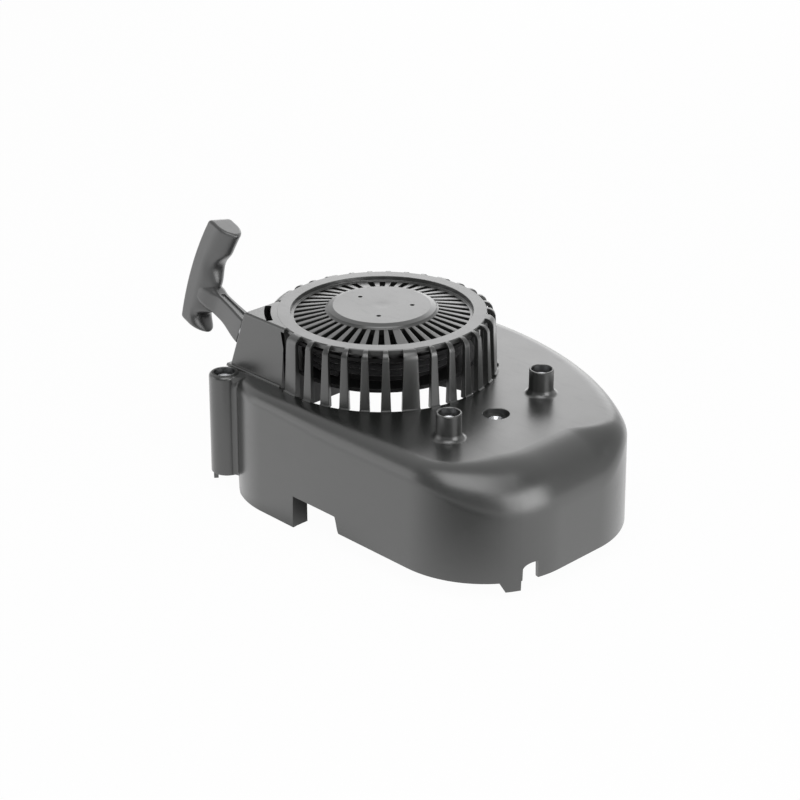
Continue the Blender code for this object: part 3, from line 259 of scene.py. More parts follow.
# Pawls, their guide and the centre screw
PAWL_PIN_R = 0.0025
PAWL_CIRCLE_R = 0.025
PAWL_EYE_R = 0.0060
PAWL_L = 0.0200
PAWL_TIP_W = 0.0050
PAWL_T = 0.0062
PAWL_AIM = math.radians(100.0)
PAWL_SWING = math.radians(35.0)
PAWL_BOSS_R = 0.0055
PEG_R = 0.0014
PEG_REACH = 0.0085
GUIDE_TURN = math.radians(28.0)
GUIDE_PLATE_R = 0.033
GUIDE_PLATE_T = 0.0022
PAWL_WIRE_R = 0.0004
PAWL_SPRING_PITCH = 0.0014
PAWL_SPRING_TURNS = 3
BRAKE_WIRE_R = 0.0008
BRAKE_TURNS = 2
CURL_POINTS = 10
SCREW_R = 0.0024
SCREW_L = 0.020
SCREW_HEAD_ACROSS = 0.010
SCREW_HEAD_H = 0.0032
WASHER_R = 0.012
WASHER_T = 0.0015

# Heights and directions that follow from the sizes above
RING_TOP_Z = PLATE_Z + CAGE_H
DISC_TOP_Z = RING_TOP_Z + DISC_RISE
DISC_UNDER_Z = DISC_TOP_Z - DISC_T
ROPE_R = ROPE_D / 2
WIND_R = (DRUM_R + SEAT_GAP + ROPE_R) / math.cos(math.pi / LOOP_POINTS)
WIND_PITCH = ROPE_D + WIND_GAP
PULLEY_Z = PLATE_Z + PULLEY_LIFT
GROOVE_Z = PULLEY_Z + FLANGE_T
GROOVE_H = WIND_TURNS * WIND_PITCH + ROPE_D + 2 * GROOVE_PLAY
UPPER_FLANGE_Z = GROOVE_Z + GROOVE_H
WIND_Z = GROOVE_Z + GROOVE_PLAY + ROPE_R
WEB_Z = PULLEY_Z + WEB_LIFT
WEB_TOP_Z = WEB_Z + WEB_T
CUP_TOP_Z = RING_TOP_Z - CUP_DROP
PAWL_TOP_Z = PULLEY_Z - FLANGE_T / 2
PAWL_Z = PAWL_TOP_Z - PAWL_T
GUIDE_PLATE_TOP_Z = PAWL_Z - SEAT_GAP
GUIDE_PLATE_Z = GUIDE_PLATE_TOP_Z - GUIDE_PLATE_T
POST_END_Z = GUIDE_PLATE_Z - SEAT_GAP
WASHER_TOP_Z = POST_END_Z - SEAT_GAP
SCREW_SEAT_Z = WASHER_TOP_Z - WASHER_T - SEAT_GAP
BUSH_TOP_Z = PLATE_Z - BUSH_DEPTH
PULL_DIR = Vector((-math.cos(PULL_TILT) * math.cos(PULL_YAW), math.cos(PULL_TILT) * math.sin(PULL_YAW),
                   math.sin(PULL_TILT)))
LEVEL_SIDE = Vector((-math.sin(PULL_YAW), -math.cos(PULL_YAW), 0.0))
BAR_DIR = PULL_DIR.cross(LEVEL_SIDE) * math.cos(HANDLE_ROLL) - LEVEL_SIDE * math.sin(HANDLE_ROLL)
BAR_SIDE = BAR_DIR.cross(PULL_DIR)

# Camera, at the photograph's angle
CAMERA_PLACE = Vector((0.8497, -0.8188, 0.5939))
CAMERA_AIM = Vector((-0.6488, 0.6375, -0.4155))
CAMERA_LENS = 90.0
SENSOR = 36.0


# Mesh helpers


def new_object(name, bm):
    bmesh.ops.recalc_face_normals(bm, faces=bm.faces)
    mesh = bpy.data.meshes.new(name)
    bm.to_mesh(mesh)
    bm.free()
    obj = bpy.data.objects.new(name, mesh)
    bpy.context.scene.collection.objects.link(obj)
    return obj


def finish_mesh(obj, sharp=32.0):
    """Smooth shading with crisp corners, and normals that favour the large faces."""
    obj.data.shade_smooth()
    obj.data.set_sharp_from_angle(angle=math.radians(sharp))
    weigh = obj.modifiers.new("weighted", "WEIGHTED_NORMAL")
    weigh.keep_sharp = True


def add_piece(obj, body, material, slot, *nodes):
    """Gives a modelled object its finish, moves it onto the frame and lets it ride on a body."""
    obj.data.materials.clear()
    obj.data.materials.append(material)
    obj.data.transform(Matrix.Translation(SHIFT))
    finish_mesh(obj)
    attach(obj, body)
    if nodes:
        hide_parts(*nodes)
    return obj


def combine(target, tool, operation):
    """Cuts the tool from the target, or joins it on, and removes the tool."""
    modifier = target.modifiers.new("combine", "BOOLEAN")
    modifier.operation = operation
    modifier.solver = "EXACT"
    modifier.object = tool
    depsgraph = bpy.context.evaluated_depsgraph_get()
    mesh = bpy.data.meshes.new_from_object(target.evaluated_get(depsgraph))
    target.modifiers.clear()
    old = target.data
    target.data = mesh
    bpy.data.meshes.remove(old)
    bm = bmesh.new()
    bm.from_mesh(mesh)
    bmesh.ops.remove_doubles(bm, verts=bm.verts, dist=WELD)
    bmesh.ops.dissolve_degenerate(bm, edges=bm.edges, dist=WELD)
    bm.to_mesh(mesh)
    bm.free()
    bpy.data.objects.remove(tool, do_unlink=True)


def cut(target, bm):
    combine(target, new_object("cutter", bm), "DIFFERENCE")


def join(target, bm):
    combine(target, new_object("addition", bm), "UNION")


def loft(rows, close_rows=False):
    """Skins rings of points. Without close_rows the first and last rings are capped."""
    bm = bmesh.new()
    rings = [[bm.verts.new(p) for p in row] for row in rows]
    pairs = list(zip(rings, rings[1:]))
    if close_rows:
        pairs.append((rings[-1], rings[0]))
    for low, high in pairs:
        for i in range(len(low)):
            j = (i + 1) % len(low)
            bm.faces.new((low[i], low[j], high[j], high[i]))
    if not close_rows:
        bm.faces.new(rings[0])
        bm.faces.new(rings[-1])
    return bm


def fillet(points, radius, steps=4):
    """Rounds the corners of a closed outline. A third number on a point is that corner's own radius."""
    result = []
    for i, point in enumerate(points):
        here = Vector(point[:2])
        before = Vector(points[i - 1][:2]) - here
        after = Vector(points[(i + 1) % len(points)][:2]) - here
        want = point[2] if len(point) > 2 else radius
        bend = before.angle(after)
        if want == 0.0 or here.x == 0.0 or bend > math.pi * 0.98:
            result.append((here.x, here.y))
            continue
        reach = min(want / math.tan(bend / 2), 0.45 * before.length, 0.45 * after.length)
        middle = (before.normalized() + after.normalized()).normalized()
        centre = here + middle * reach / math.cos(bend / 2)
        start = here + before.normalized() * reach - centre
        turn = start.angle_signed(here + after.normalized() * reach - centre)
        for k in range(steps + 1):
            spot = centre + Matrix.Rotation(-turn * k / steps, 2) @ start
            result.append((spot.x, spot.y))
    return result


def turned(profile, steps=72, place=None):
    """Spins a closed (radius, height) outline about Z. Points on the axis become single points."""
    bm = bmesh.new()
    rings = []
    angles = [2 * math.pi * k / steps for k in range(steps)]
    for radius, height in profile:
        if radius == 0.0:
            rings.append([bm.verts.new((0.0, 0.0, height))])
        else:
            rings.append([bm.verts.new((radius * math.cos(a), radius * math.sin(a), height)) for a in angles])
    for low, high in zip(rings, rings[1:] + rings[:1]):
        for i in range(steps):
            j = (i + 1) % steps
            corners = []
            for vert in (low[i % len(low)], low[j % len(low)], high[j % len(high)], high[i % len(high)]):
                if vert not in corners:
                    corners.append(vert)
            if len(corners) > 2:
                bm.faces.new(corners)
    if place is not None:
        bmesh.ops.transform(bm, matrix=place, verts=bm.verts)
    return bm


def cylinder(radius, z0, z1, steps=72, place=None):
    return turned([(0.0, z0), (radius, z0), (radius, z1), (0.0, z1)], steps, place)


def sleeve(inner, outer, z0, z1, edge, steps=72):
    return turned(fillet([(inner, z0), (outer, z0), (outer, z1), (inner, z1)], edge), steps)


def tube(inner, outer, z0, z1):
    """A metal tube whose upper end is countersunk."""
    return turned(fillet([(inner, z0), (outer, z0), (outer, z1), (outer - EDGE, z1), (inner, z1 - BUSH_CONE)], EDGE / 2))


def prism(outline, z0, z1):
    return loft([[(x, y, z) for x, y in outline] for z in (z0, z1)])


def block(x0, x1, y0, y1, z0, z1):
    return prism([(x0, y0), (x1, y0), (x1, y1), (x0, y1)], z0, z1)


def arc(centre, radius, start, end, steps):
    angles = [start + (end - start) * k / steps for k in range(steps + 1)]
    return [(centre[0] + radius * math.cos(a), centre[1] + radius * math.sin(a)) for a in angles]


def at(x, y, z=0.0):
    return Matrix.Translation((x, y, z))


def smooth(value, low, high):
    t = min(1.0, max(0.0, (value - low) / (high - low)))
    return t * t * (3 - 2 * t)


def merge(solids):
    """Gathers separate solids into one mesh."""
    bm = bmesh.new()
    for solid in solids:
        mesh = bpy.data.meshes.new("piece")
        bmesh.ops.recalc_face_normals(solid, faces=solid.faces)
        solid.to_mesh(mesh)
        bm.from_mesh(mesh)
        bpy.data.meshes.remove(mesh)
        solid.free()
    return bm


# Cowl shell


def near_back_centre():
    return Vector((COWL_BACK_X + NEAR_BACK_R, NEAR_SIDE_Y + NEAR_BACK_R))


def far_back_centre():
    return Vector((0.0, FAR_SIDE_Y + COWL_BACK_X))


def far_end_centre():
    x = COWL_END_X - FAR_END_R
    return Vector((x, FAR_SIDE_Y - FAR_SIDE_R + math.sqrt((FAR_SIDE_R - FAR_END_R) ** 2 - x**2)))


def spread(low, high, step, breaks=(), half=0.0, fine=()):
    """Even values from low up to, not including, high, with a close pair at each break."""
    count = max(1, round((high - low) / step))
    values = [low + (high - low) * k / count for k in range(count)]
    values = [v for v in values if all(abs(v - b) > 4 * half for b in breaks)]
    for start, end, number in fine:
        values = [v for v in values if not start - half < v < end + half]
        values += [start + (end - start) * k / number for k in range(number + 1)]
    for b in breaks:
        values += [b - half, b + half]
    return sorted(values)


def near_side_foot(x):
    if x < PANEL_END_X:
        return 0.0
    return NOTCH_Z + (SKIRT_Z - NOTCH_Z) * smooth(x, NOTCH_END_X - NOTCH_BLEND, NOTCH_END_X)


def near_end_foot(angle):
    if TAB_ANGLES[0] < angle < TAB_ANGLES[1]:
        return SKIRT_Z + (TAB_Z - SKIRT_Z) * min(1.0, (angle - TAB_ANGLES[0]) / TAB_SLOPE)
    if SLOT_ANGLES[0] < angle < SLOT_ANGLES[1]:
        share = (angle - SLOT_ANGLES[0]) / (SLOT_ANGLES[1] - SLOT_ANGLES[0])
        away = max(0.0, 1 - share / 0.8)
        return SKIRT_Z + SLOT_HEIGHT - SLOT_ROUND * (1 - math.sqrt(1 - away**2))
    return SKIRT_Z


def far_side_foot(angle):
    if angle < FAR_FOOT_ANGLES[0]:
        return SKIRT_Z
    return 0.0 if angle < FAR_FOOT_ANGLES[1] else AIR_GAP_Z - AIR_GAP_DROP


def near_back_foot(angle):
    return AIR_GAP_Z * smooth(angle, PANEL_ANGLE - PANEL_CURVE, PANEL_ANGLE + PANEL_CURVE)


def skirt_stations():
    """Points round the foot of the skirt: place, direction inwards, lower edge and top edge radius."""
    stations = []
    quarter = math.pi / 2
    near_back = near_back_centre()
    near_end = Vector((COWL_END_X - NEAR_END_R, NEAR_SIDE_Y + NEAR_END_R))
    far_end = far_end_centre()
    far_side = Vector((0.0, FAR_SIDE_Y - FAR_SIDE_R))
    far_turn = math.atan2(far_end.y - far_side.y, far_end.x)

    def on_arc(centre, radius, angle, height, edge):
        out = Vector((math.cos(angle), math.sin(angle)))
        stations.append((centre + out * radius, -out, height, edge))

    blend = (NOTCH_END_X - NOTCH_BLEND, NOTCH_END_X, 12)
    for x in spread(near_back.x, near_end.x, STATION_STEP, [PANEL_END_X], STEP_HALF, [blend]):
        edge = EDGE_R_BACK + (EDGE_R_SIDE - EDGE_R_BACK) * smooth(x, near_back.x, NOTCH_END_X)
        stations.append((Vector((x, NEAR_SIDE_Y)), Vector((0.0, 1.0)), near_side_foot(x), edge))
    half = STEP_HALF / NEAR_END_R
    step = STATION_STEP / NEAR_END_R
    slot = (SLOT_ANGLES[0] + 2 * half, SLOT_ANGLES[1] - 2 * half, 14)
    tab = (TAB_ANGLES[0] + 2 * half, TAB_ANGLES[0] + TAB_SLOPE, 6)
    for angle in spread(0.0, quarter, step, TAB_ANGLES + SLOT_ANGLES, half, [tab, slot]):
        edge = EDGE_R_SIDE + (EDGE_R_END - EDGE_R_SIDE) * smooth(angle, 0.0, quarter * 0.7)
        on_arc(near_end, NEAR_END_R, angle - quarter, near_end_foot(angle), edge)
    for y in spread(near_end.y, far_end.y, STATION_STEP):
        stations.append((Vector((COWL_END_X, y)), Vector((-1.0, 0.0)), SKIRT_Z, EDGE_R_END))
    for angle in spread(0.0, far_turn, STATION_STEP / FAR_END_R):
        edge = EDGE_R_END + (EDGE_R_SIDE - EDGE_R_END) * smooth(angle / far_turn, 0.0, 0.7)
        on_arc(far_end, FAR_END_R, angle, SKIRT_Z, edge)
    for angle in spread(far_turn, quarter, STATION_STEP / FAR_SIDE_R, FAR_FOOT_ANGLES, STEP_HALF / FAR_SIDE_R):
        on_arc(far_side, FAR_SIDE_R, angle, far_side_foot(angle), EDGE_R_SIDE)
    for angle in spread(quarter, 2 * quarter, STATION_STEP / -COWL_BACK_X):
        share = smooth(angle, quarter, 2 * quarter)
        edge = EDGE_R_SIDE + (EDGE_R_BACK - EDGE_R_SIDE) * share
        on_arc(far_back_centre(), -COWL_BACK_X, angle, AIR_GAP_Z - AIR_GAP_DROP * (1 - share), edge)
    for y in spread(-far_back_centre().y, -near_back.y, STATION_STEP):
        stations.append((Vector((COWL_BACK_X, -y)), Vector((1.0, 0.0)), AIR_GAP_Z, EDGE_R_BACK))
    for angle in spread(-quarter, 0.0, STATION_STEP / NEAR_BACK_R):
        on_arc(near_back, NEAR_BACK_R, angle - quarter, near_back_foot(-angle), EDGE_R_BACK)
    return stations


def shell_rows(stations, inset, steps):
    """Rings of points from the rounded foot up the skirt, over its edge and a little way onto the plate."""
    rows = [[] for _ in range(3 + SKIRT_ROWS + steps + 1)]
    lean = math.tan(DRAFT)
    towards = 1 if inset == 0.0 else -1
    for point, inward, height, radius in stations:
        spots = []
        for k in range(3):
            turn = math.pi / 2 * (1 - k / 2)
            spots.append((inset + towards * FOOT_ROUND * (1 - math.cos(turn)) + height * lean,
                          height + FOOT_ROUND * (1 - math.sin(turn))))
        turn_z = PLATE_Z - radius
        foot_z = height + FOOT_ROUND
        for k in range(1, SKIRT_ROWS):
            z = foot_z + (turn_z - foot_z) * k / SKIRT_ROWS
            spots.append((inset + z * lean, z))
        for k in range(steps + 1):
            angle = math.pi / 2 * k / steps
            across = turn_z * lean + radius - (radius - inset) * math.cos(angle)
            spots.append((across, turn_z + (radius - inset) * math.sin(angle)))
        spots.append((spots[-1][0] + WALL / 3, spots[-1][1]))
        for row, (across, z) in zip(rows, spots):
            place = point + inward * across
            row.append((place.x, place.y, z))
    return rows


def column_places():
    """Each corner column's centre, direction outwards, wall radius and foot."""
    places = {}
    for name, side, centre, radius, foot in (("near", -1, near_back_centre(), NEAR_BACK_R, SKIRT_Z),
                                             ("far", 1, far_back_centre(), -COWL_BACK_X,
                                              AIR_GAP_Z - AIR_GAP_DROP / 2)):
        out = Vector((-math.sin(COLUMN_ANGLE), side * math.cos(COLUMN_ANGLE)))
        places[name] = (centre + out * (radius + COLUMN_OUT), out, radius, foot)
    return places


def column_web(centre, out, wall_r, foot):
    """Hollow fillets on both sides of a column, where it meets the leaning wall and the rounded plate edge."""
    heart = centre - out * (wall_r + COLUMN_OUT)
    side = Vector((-out.y, out.x))
    turn_z = PLATE_Z - EDGE_R_BACK
    heights = [foot + EDGE + (turn_z - foot - EDGE) * k / 4 for k in range(4)]
    heights += [turn_z + (EDGE_R_BACK - COLUMN_LAND) * k / 10 for k in range(11)]
    rows = []
    for z in heights:
        rise = max(0.0, z - turn_z)
        wall = wall_r - min(z, turn_z) * math.tan(DRAFT) - EDGE_R_BACK + math.sqrt(EDGE_R_BACK**2 - rise**2)
        column = COLUMN_FOOT_R + (COLUMN_R - COLUMN_FOOT_R) * (z - foot) / (PLATE_Z - foot) - SHY
        reach = wall_r + COLUMN_OUT
        along = ((wall + COLUMN_FILLET) ** 2 - (column + COLUMN_FILLET) ** 2 + reach**2) / (2 * reach)
        across = math.sqrt((wall + COLUMN_FILLET) ** 2 - along**2)
        row = []
        for sign in (1, -1):
            hollow = heart + out * along + side * across * sign
            to_column = math.atan2(*(centre - hollow).yx)
            to_wall = math.atan2(*(heart - hollow).yx)
            turn = (to_wall - to_column + math.pi) % (2 * math.pi) - math.pi
            flank = arc(hollow, COLUMN_FILLET, to_column, to_column + turn, 8)
            inside = heart + (hollow - heart).normalized() * (wall - WALL / 2)
            flank.append((inside.x, inside.y))
            row += flank if sign == 1 else flank[::-1]
        rows.append([(x, y, z) for x, y in row])
    return loft(rows)


def add_columns(cowl):
    for centre, out, wall_r, foot in column_places().values():
        top = PLATE_Z + COLUMN_LAND
        profile = fillet([(0.0, foot), (COLUMN_FOOT_R, foot), (COLUMN_R, top, COLUMN_ROUND), (0.0, top)], EDGE, 6)
        join(cowl, turned(profile, 72, at(centre.x, centre.y)))
        across = Vector((-out.y, out.x)) * (COLUMN_R - COLUMN_ROUND / 2)
        inner = centre - out * COLUMN_BRIDGE
        outline = [centre + across, inner + across, inner - across, centre - across]
        join(cowl, prism([(p.x, p.y) for p in outline], PLATE_Z - EDGE_R_BACK, PLATE_Z - COLUMN_LAND))
        join(cowl, column_web(centre, out, wall_r, foot))
        width, drop = COLUMN_LUG
        lug = eased(block(-width / 2, width / 2, -width, width, foot - drop, foot + width))
        spot = centre + out * (COLUMN_FOOT_R - width)
        bmesh.ops.transform(lug, matrix=at(spot.x, spot.y) @ Matrix.Rotation(math.atan2(out.y, out.x), 4, "Z"),
                            verts=lug.verts)
        join(cowl, lug)
        bore = BUSH_R + SEAT_GAP
        cut(cowl, turned(fillet([(0.0, foot - WALL), (bore, foot - WALL), (bore, top, 0.0), (bore + EDGE, top + EDGE),
                                 (bore + EDGE, top + WALL), (0.0, top + WALL)], 0.0), 72, at(centre.x, centre.y)))


def add_plate_features(cowl):
    wall_y = NEAR_SIDE_Y + PLATE_Z * math.tan(DRAFT)
    join(cowl, block(PANEL_END_X - WALL, PANEL_END_X - 2 * STEP_HALF, wall_y + WALL / 4,
                     NEAR_SIDE_Y + PANEL_RETURN, STEP_HALF, PLATE_Z - EDGE_R_SIDE))
    bore = PLATE_BUSH_R + SEAT_GAP
    pillar_z = PLATE_Z - PLATE_RECESS_DEPTH - PLATE_BUSH_L
    pillar_top = PLATE_Z - WALL / 3
    place = at(*PLATE_BUSH)
    join(cowl, turned(fillet([(0.0, pillar_z), (bore + PILLAR_WALL, pillar_z),
                              (PLATE_RECESS_R + PILLAR_WALL, pillar_top), (0.0, pillar_top)], EDGE), 72, place))
    recess_z = PLATE_Z - PLATE_RECESS_DEPTH + SEAT_GAP
    cut(cowl, turned([(0.0, pillar_z - WALL), (bore, pillar_z - WALL), (bore, recess_z),
                      (PLATE_RECESS_R - 2 * EDGE, recess_z), (PLATE_RECESS_R - EDGE, PLATE_Z - EDGE),
                      (PLATE_RECESS_R, PLATE_Z), (PLATE_RECESS_R, PLATE_Z + WALL), (0.0, PLATE_Z + WALL)], 72, place))
    for spot in (NEAR_BOSS, FAR_BOSS):
        place = at(*spot)
        top = PLATE_Z + BOSS_H
        seat = top - INSERT_DEPTH - INSERT_L - SEAT_GAP
        low = seat - WALL
        flare = BOSS_FLARE_R - BOSS_R
        outside = [(0.0, low), (BOSS_R, low), (BOSS_R, PLATE_Z - WALL / 2), (BOSS_FLARE_R, PLATE_Z - WALL / 2)]
        for k in range(9):
            angle = math.pi / 2 * k / 8
            outside.append((BOSS_FLARE_R - flare * math.sin(angle) + SHY,
                            PLATE_Z + SHY + BOSS_FLARE_H * (1 - math.cos(angle))))
        outside += [(BOSS_R, top - EDGE), (BOSS_R - EDGE, top), (0.0, top)]
        join(cowl, turned(outside, 72, place))
        cut(cowl, turned([(0.0, low - WALL), (INSERT_BORE_R, low - WALL), (INSERT_BORE_R, seat),
                          (BOSS_BORE_R, seat), (BOSS_BORE_R, top - EDGE), (BOSS_BORE_R + EDGE, top),
                          (BOSS_BORE_R + EDGE, top + WALL), (0.0, top + WALL)], 72, place))


def add_box_gusset(cowl):
    end = BOX_END_X - BOX_FOOT_W / 2
    front = BOX_FRONT_Y - BOX_FOOT_W / 2
    outline = [(end, front), (end + BOX_GUSSET, front), (end, front + BOX_GUSSET)]
    join(cowl, prism(outline, PLATE_Z - EDGE_R_BACK, PLATE_Z - WALL / 4))


def build_shell():
    stations = skirt_stations()
    outer = shell_rows(stations, 0.0, EDGE_STEPS)
    inner = shell_rows(stations, WALL, INNER_STEPS)
    cowl = new_object("cowl_shell", loft(inner[::-1] + outer))
    add_columns(cowl)
    add_plate_features(cowl)
    add_box_gusset(cowl)
    cut(cowl, cylinder(OPENING_R, 0.0, PLATE_Z + WALL, 192))
    return cowl


# Cage, grille and disc


def half_turn_angles(count, pitch):
    """Slot angles, in two equal sets that leave a wide rib at each end of one diameter."""
    first = WIDE_RIB_ANGLE + (math.pi - (count - 1) * pitch) / 2
    return [first + half * math.pi + k * pitch for half in range(2) for k in range(count)]


def rope_box_angles():
    """Cage angles between which the rope box takes the place of the slots."""
    front = math.atan2(BOX_FRONT_Y, -math.sqrt(CAGE_R**2 - BOX_FRONT_Y**2))
    back = math.atan2(BOX_BACK_Y, -math.sqrt(CAGE_R**2 - BOX_BACK_Y**2))
    return back % (2 * math.pi), front % (2 * math.pi)


def cage_slots():
    """Slot angles, in groups between wide ribs, left out along the rope box and the plain part of the ring."""
    back, front = rope_box_angles()
    margin = CAGE_PITCH / 3
    period = (CAGE_GROUP - 1) * CAGE_PITCH + WIDE_RIB_GAP
    slots = []
    for group in range(-2, 4):
        first = WIDE_RIB_ANGLE + WIDE_RIB_GAP / 2 + group * period
        slots += [(first + k * CAGE_PITCH) % (2 * math.pi) for k in range(CAGE_GROUP)]
    return sorted(a for a in slots
                  if not (back - margin < a < front + margin or PLAIN_RING[0] < a < PLAIN_RING[1]))


def slot_half(z):
    """Half the width of a cage slot, which grows with height as the ribs taper."""
    share = min(1.0, (z - PLATE_Z) / CAGE_H)
    return (CAGE_PITCH * CAGE_R - RIB_FOOT_W - (RIB_TOP_W - RIB_FOOT_W) * share) / 2


def rib_profile():
    """Closed (radius, height) outline of the cage's wall, from its foot up and over the shoulder."""
    top_r = CAGE_R - CAGE_LEAN
    turn_z = RING_TOP_Z - SHOULDER_R - SHY
    outline = [(CAGE_R - RIB_T, PLATE_Z - SINK), (CAGE_FOOT_R, PLATE_Z - SINK), (CAGE_FOOT_R, PLATE_Z + FOOT_H),
               (CAGE_R, PLATE_Z + 1.5 * FOOT_H)]
    outline += [(CAGE_R - CAGE_LEAN * k / 4, PLATE_Z + 1.5 * FOOT_H + (turn_z - PLATE_Z - 1.5 * FOOT_H) * k / 4)
                for k in range(1, 4)]
    outline += arc((top_r - SHOULDER_R, turn_z), SHOULDER_R, 0.0, math.pi / 2, 10)
    ring_edge = top_r - SHOULDER_R
    inner_end = ring_edge - NOTCH_SLOPE - 2 * EDGE
    outline += [(inner_end, RING_TOP_Z - SHY), (inner_end, RING_TOP_Z - RING_T + SHY)]
    outline += [(CAGE_R - RIB_T - EDGE, RING_TOP_Z - RING_T + SHY), (CAGE_R - RIB_T, RING_TOP_Z - RING_T - EDGE)]
    return outline


def inset_outline(outline, distance):
    """Draws a closed outline in by a small distance, corner by corner."""
    result = []
    for i, point in enumerate(outline):
        here = Vector(point)
        before = (here - Vector(outline[i - 1])).normalized()
        after = (Vector(outline[(i + 1) % len(outline)]) - here).normalized()
        normal = Vector((-before.y - after.y, before.x + after.x)).normalized()
        across = max(0.5, normal.dot(Vector((-before.y, before.x))))
        spot = here + normal * distance / across
        result.append((spot.x, spot.y))
    return result


def cage_span(start, end, open_end=True):
    """A stretch of the cage's wall between two slots, with rounded edges along both sides."""
    base = rib_profile()
    count = max(2, round((end - start) / math.radians(2.0)))
    rows = []
    for k in range(-2, count + 3):
        share = min(1.0, max(0.0, k / count))
        turn = {-2: 0.0, -1: 0.3, count + 1: 0.3, count + 2: 0.0}.get(k, 1.0)
        outline = inset_outline(base, EDGE * (1 - math.sqrt(1 - (1 - turn) ** 2)))
        row = []
        for r, z in outline:
            low = start + math.asin((slot_half(z) + EDGE) / r)
            high = end - (math.asin((slot_half(z) + EDGE) / r) if open_end else 0.0)
            angle = low + (high - low) * share
            angle += (turn - 1) * EDGE / r if k < 0 else (1 - turn) * EDGE / r
            row.append((r * math.cos(angle), r * math.sin(angle), z))
        rows.append(row)
    return loft(rows)


def box_side_wall(slot):
    """The part of the cage's wall that closes the rope box towards its neighbouring slot."""
    outer = CAGE_R - CAGE_LEAN - SHOULDER_R + WALL / 2
    end = slot - slot_half(RING_TOP_Z) / outer
    outline = arc((0.0, 0.0), outer, INNER_WALL_ANGLE, end, 12)
    outline += arc((0.0, 0.0), outer - WALL, end, INNER_WALL_ANGLE, 12)
    return prism(outline, PLATE_Z - SINK, RING_TOP_Z - RING_T - SHY)


def grille_z(radius):
    """Height of the grille's upper face, a shallow cone."""
    return RING_TOP_Z - RIM_STEP + GRILLE_RISE * (GRILLE_R1 - radius) / (GRILLE_R1 - GRILLE_R0)


def cage_ring():
    """The flat ring on top of the ribs, with the step down to the grille's outer edge."""
    ring_edge = CAGE_R - CAGE_LEAN - SHOULDER_R
    under = RING_TOP_Z - RING_T
    low = grille_z(GRILLE_R1)
    return turned(fillet([(ring_edge, under), (ring_edge, RING_TOP_Z - NOTCH_SLOPE),
                          (ring_edge - NOTCH_SLOPE, RING_TOP_Z), (RIM_R, RING_TOP_Z), (RIM_R - SINK, low, SINK),
                          (GRILLE_R1, low), (GRILLE_R1, low - GRILLE_T), (RIM_R + GRILLE_T / 2, low - GRILLE_T),
                          (RIM_R + GRILLE_T / 2, under)], EDGE), 240)


def cage_disc():
    """The raised centre disc, its conical edge, a shallow dish in the middle and the post underneath."""
    low = grille_z(GRILLE_R0)
    return turned(fillet([(GRILLE_R0, low - GRILLE_T), (GRILLE_R0, low), (DISC_R, low + DISC_RISE / 5, EDGE),
                          (DISC_R - DISC_RISE / 4, DISC_TOP_Z - DISC_RISE / 3, EDGE),
                          (DISC_TOP_R, DISC_TOP_Z, DISC_RISE / 2), (DISC_DISH_R, DISC_TOP_Z, DISC_R * 2),
                          (DISC_DISH_R / 2, DISC_TOP_Z - DISC_DISH, DISC_R * 2), (0.0, DISC_TOP_Z - DISC_DISH),
                          (0.0, POST_END_Z + SCREW_L), (SCREW_R + SEAT_GAP, POST_END_Z + SCREW_L, 0.0),
                          (SCREW_R + SEAT_GAP, POST_END_Z), (POST_R, POST_END_Z), (POST_R, DISC_UNDER_Z),
                          (DISC_TOP_R, DISC_UNDER_Z)], EDGE), 144)


def grille_spoke(start, end):
    """One bar of the grille between two wedge-shaped slots, its upper edges rounded."""
    half = GRILLE_OPEN * GRILLE_PITCH / 2
    rows = []
    for k in range(9):
        radius = GRILLE_R0 - SINK + (GRILLE_R1 - GRILLE_R0 + 2 * SINK) * k / 8
        top = grille_z(radius) - SHY
        section = [(0, top - GRILLE_T + EDGE), (0, top - EDGE), (0.3, top - 0.3 * EDGE), (1, top)]
        row = []
        for side in (1, -1):
            centre, sign = (start, 1) if side == 1 else (end, -1)
            points = [(EDGE, top - GRILLE_T)] + [(inset * EDGE, z) for inset, z in section]
            for inset, z in points if side == 1 else points[::-1]:
                angle = centre + sign * (half + inset / radius)
                row.append((radius * math.cos(angle), radius * math.sin(angle), z))
        rows.append(row)
    return loft(rows)


def build_cage():
    slots = cage_slots()
    back, _ = rope_box_angles()
    solids = [cage_ring()]
    for start, end in zip(slots, slots[1:] + [slots[0] + 2 * math.pi]):
        if start < back < end:
            solids.append(cage_span(start, back + CAGE_PITCH / 4, open_end=False))
            solids.append(box_side_wall(end))
        else:
            solids.append(cage_span(start, end))
    spokes = sorted(a % (2 * math.pi) for a in half_turn_angles(GRILLE_SLOTS, GRILLE_PITCH))
    for start, end in zip(spokes, spokes[1:] + [spokes[0] + 2 * math.pi]):
        solids.append(grille_spoke(start, end))
    cage = new_object("slotted_cage", merge(solids))
    disc = new_object("centre_disc", cage_disc())
    dimples = []
    for angle in DIMPLE_ANGLES:
        place = at(DIMPLE_RING_R * math.cos(angle), DIMPLE_RING_R * math.sin(angle))
        dimples.append(cylinder(DIMPLE_R, DISC_TOP_Z - DIMPLE_DEPTH, DISC_TOP_Z + WALL, 24, place))
    cut(disc, merge(dimples))
    return cage, disc


# Rope box


def box_solid(inset, z0, z1, inner_x):
    """The leaning rope box, drawn in by a wall thickness on its front, back and end."""
    rows = []
    for z in (z0, z1):
        share = (z - PLATE_Z) / CAGE_H
        front = BOX_FRONT_Y + BOX_FRONT_LEAN * share + inset
        end = BOX_END_X + BOX_END_LEAN * share + inset
        rows.append([(end, front, z), (inner_x, front, z), (inner_x, BOX_BACK_Y - inset, z),
                     (end, BOX_BACK_Y - inset, z)])
    return loft(rows)


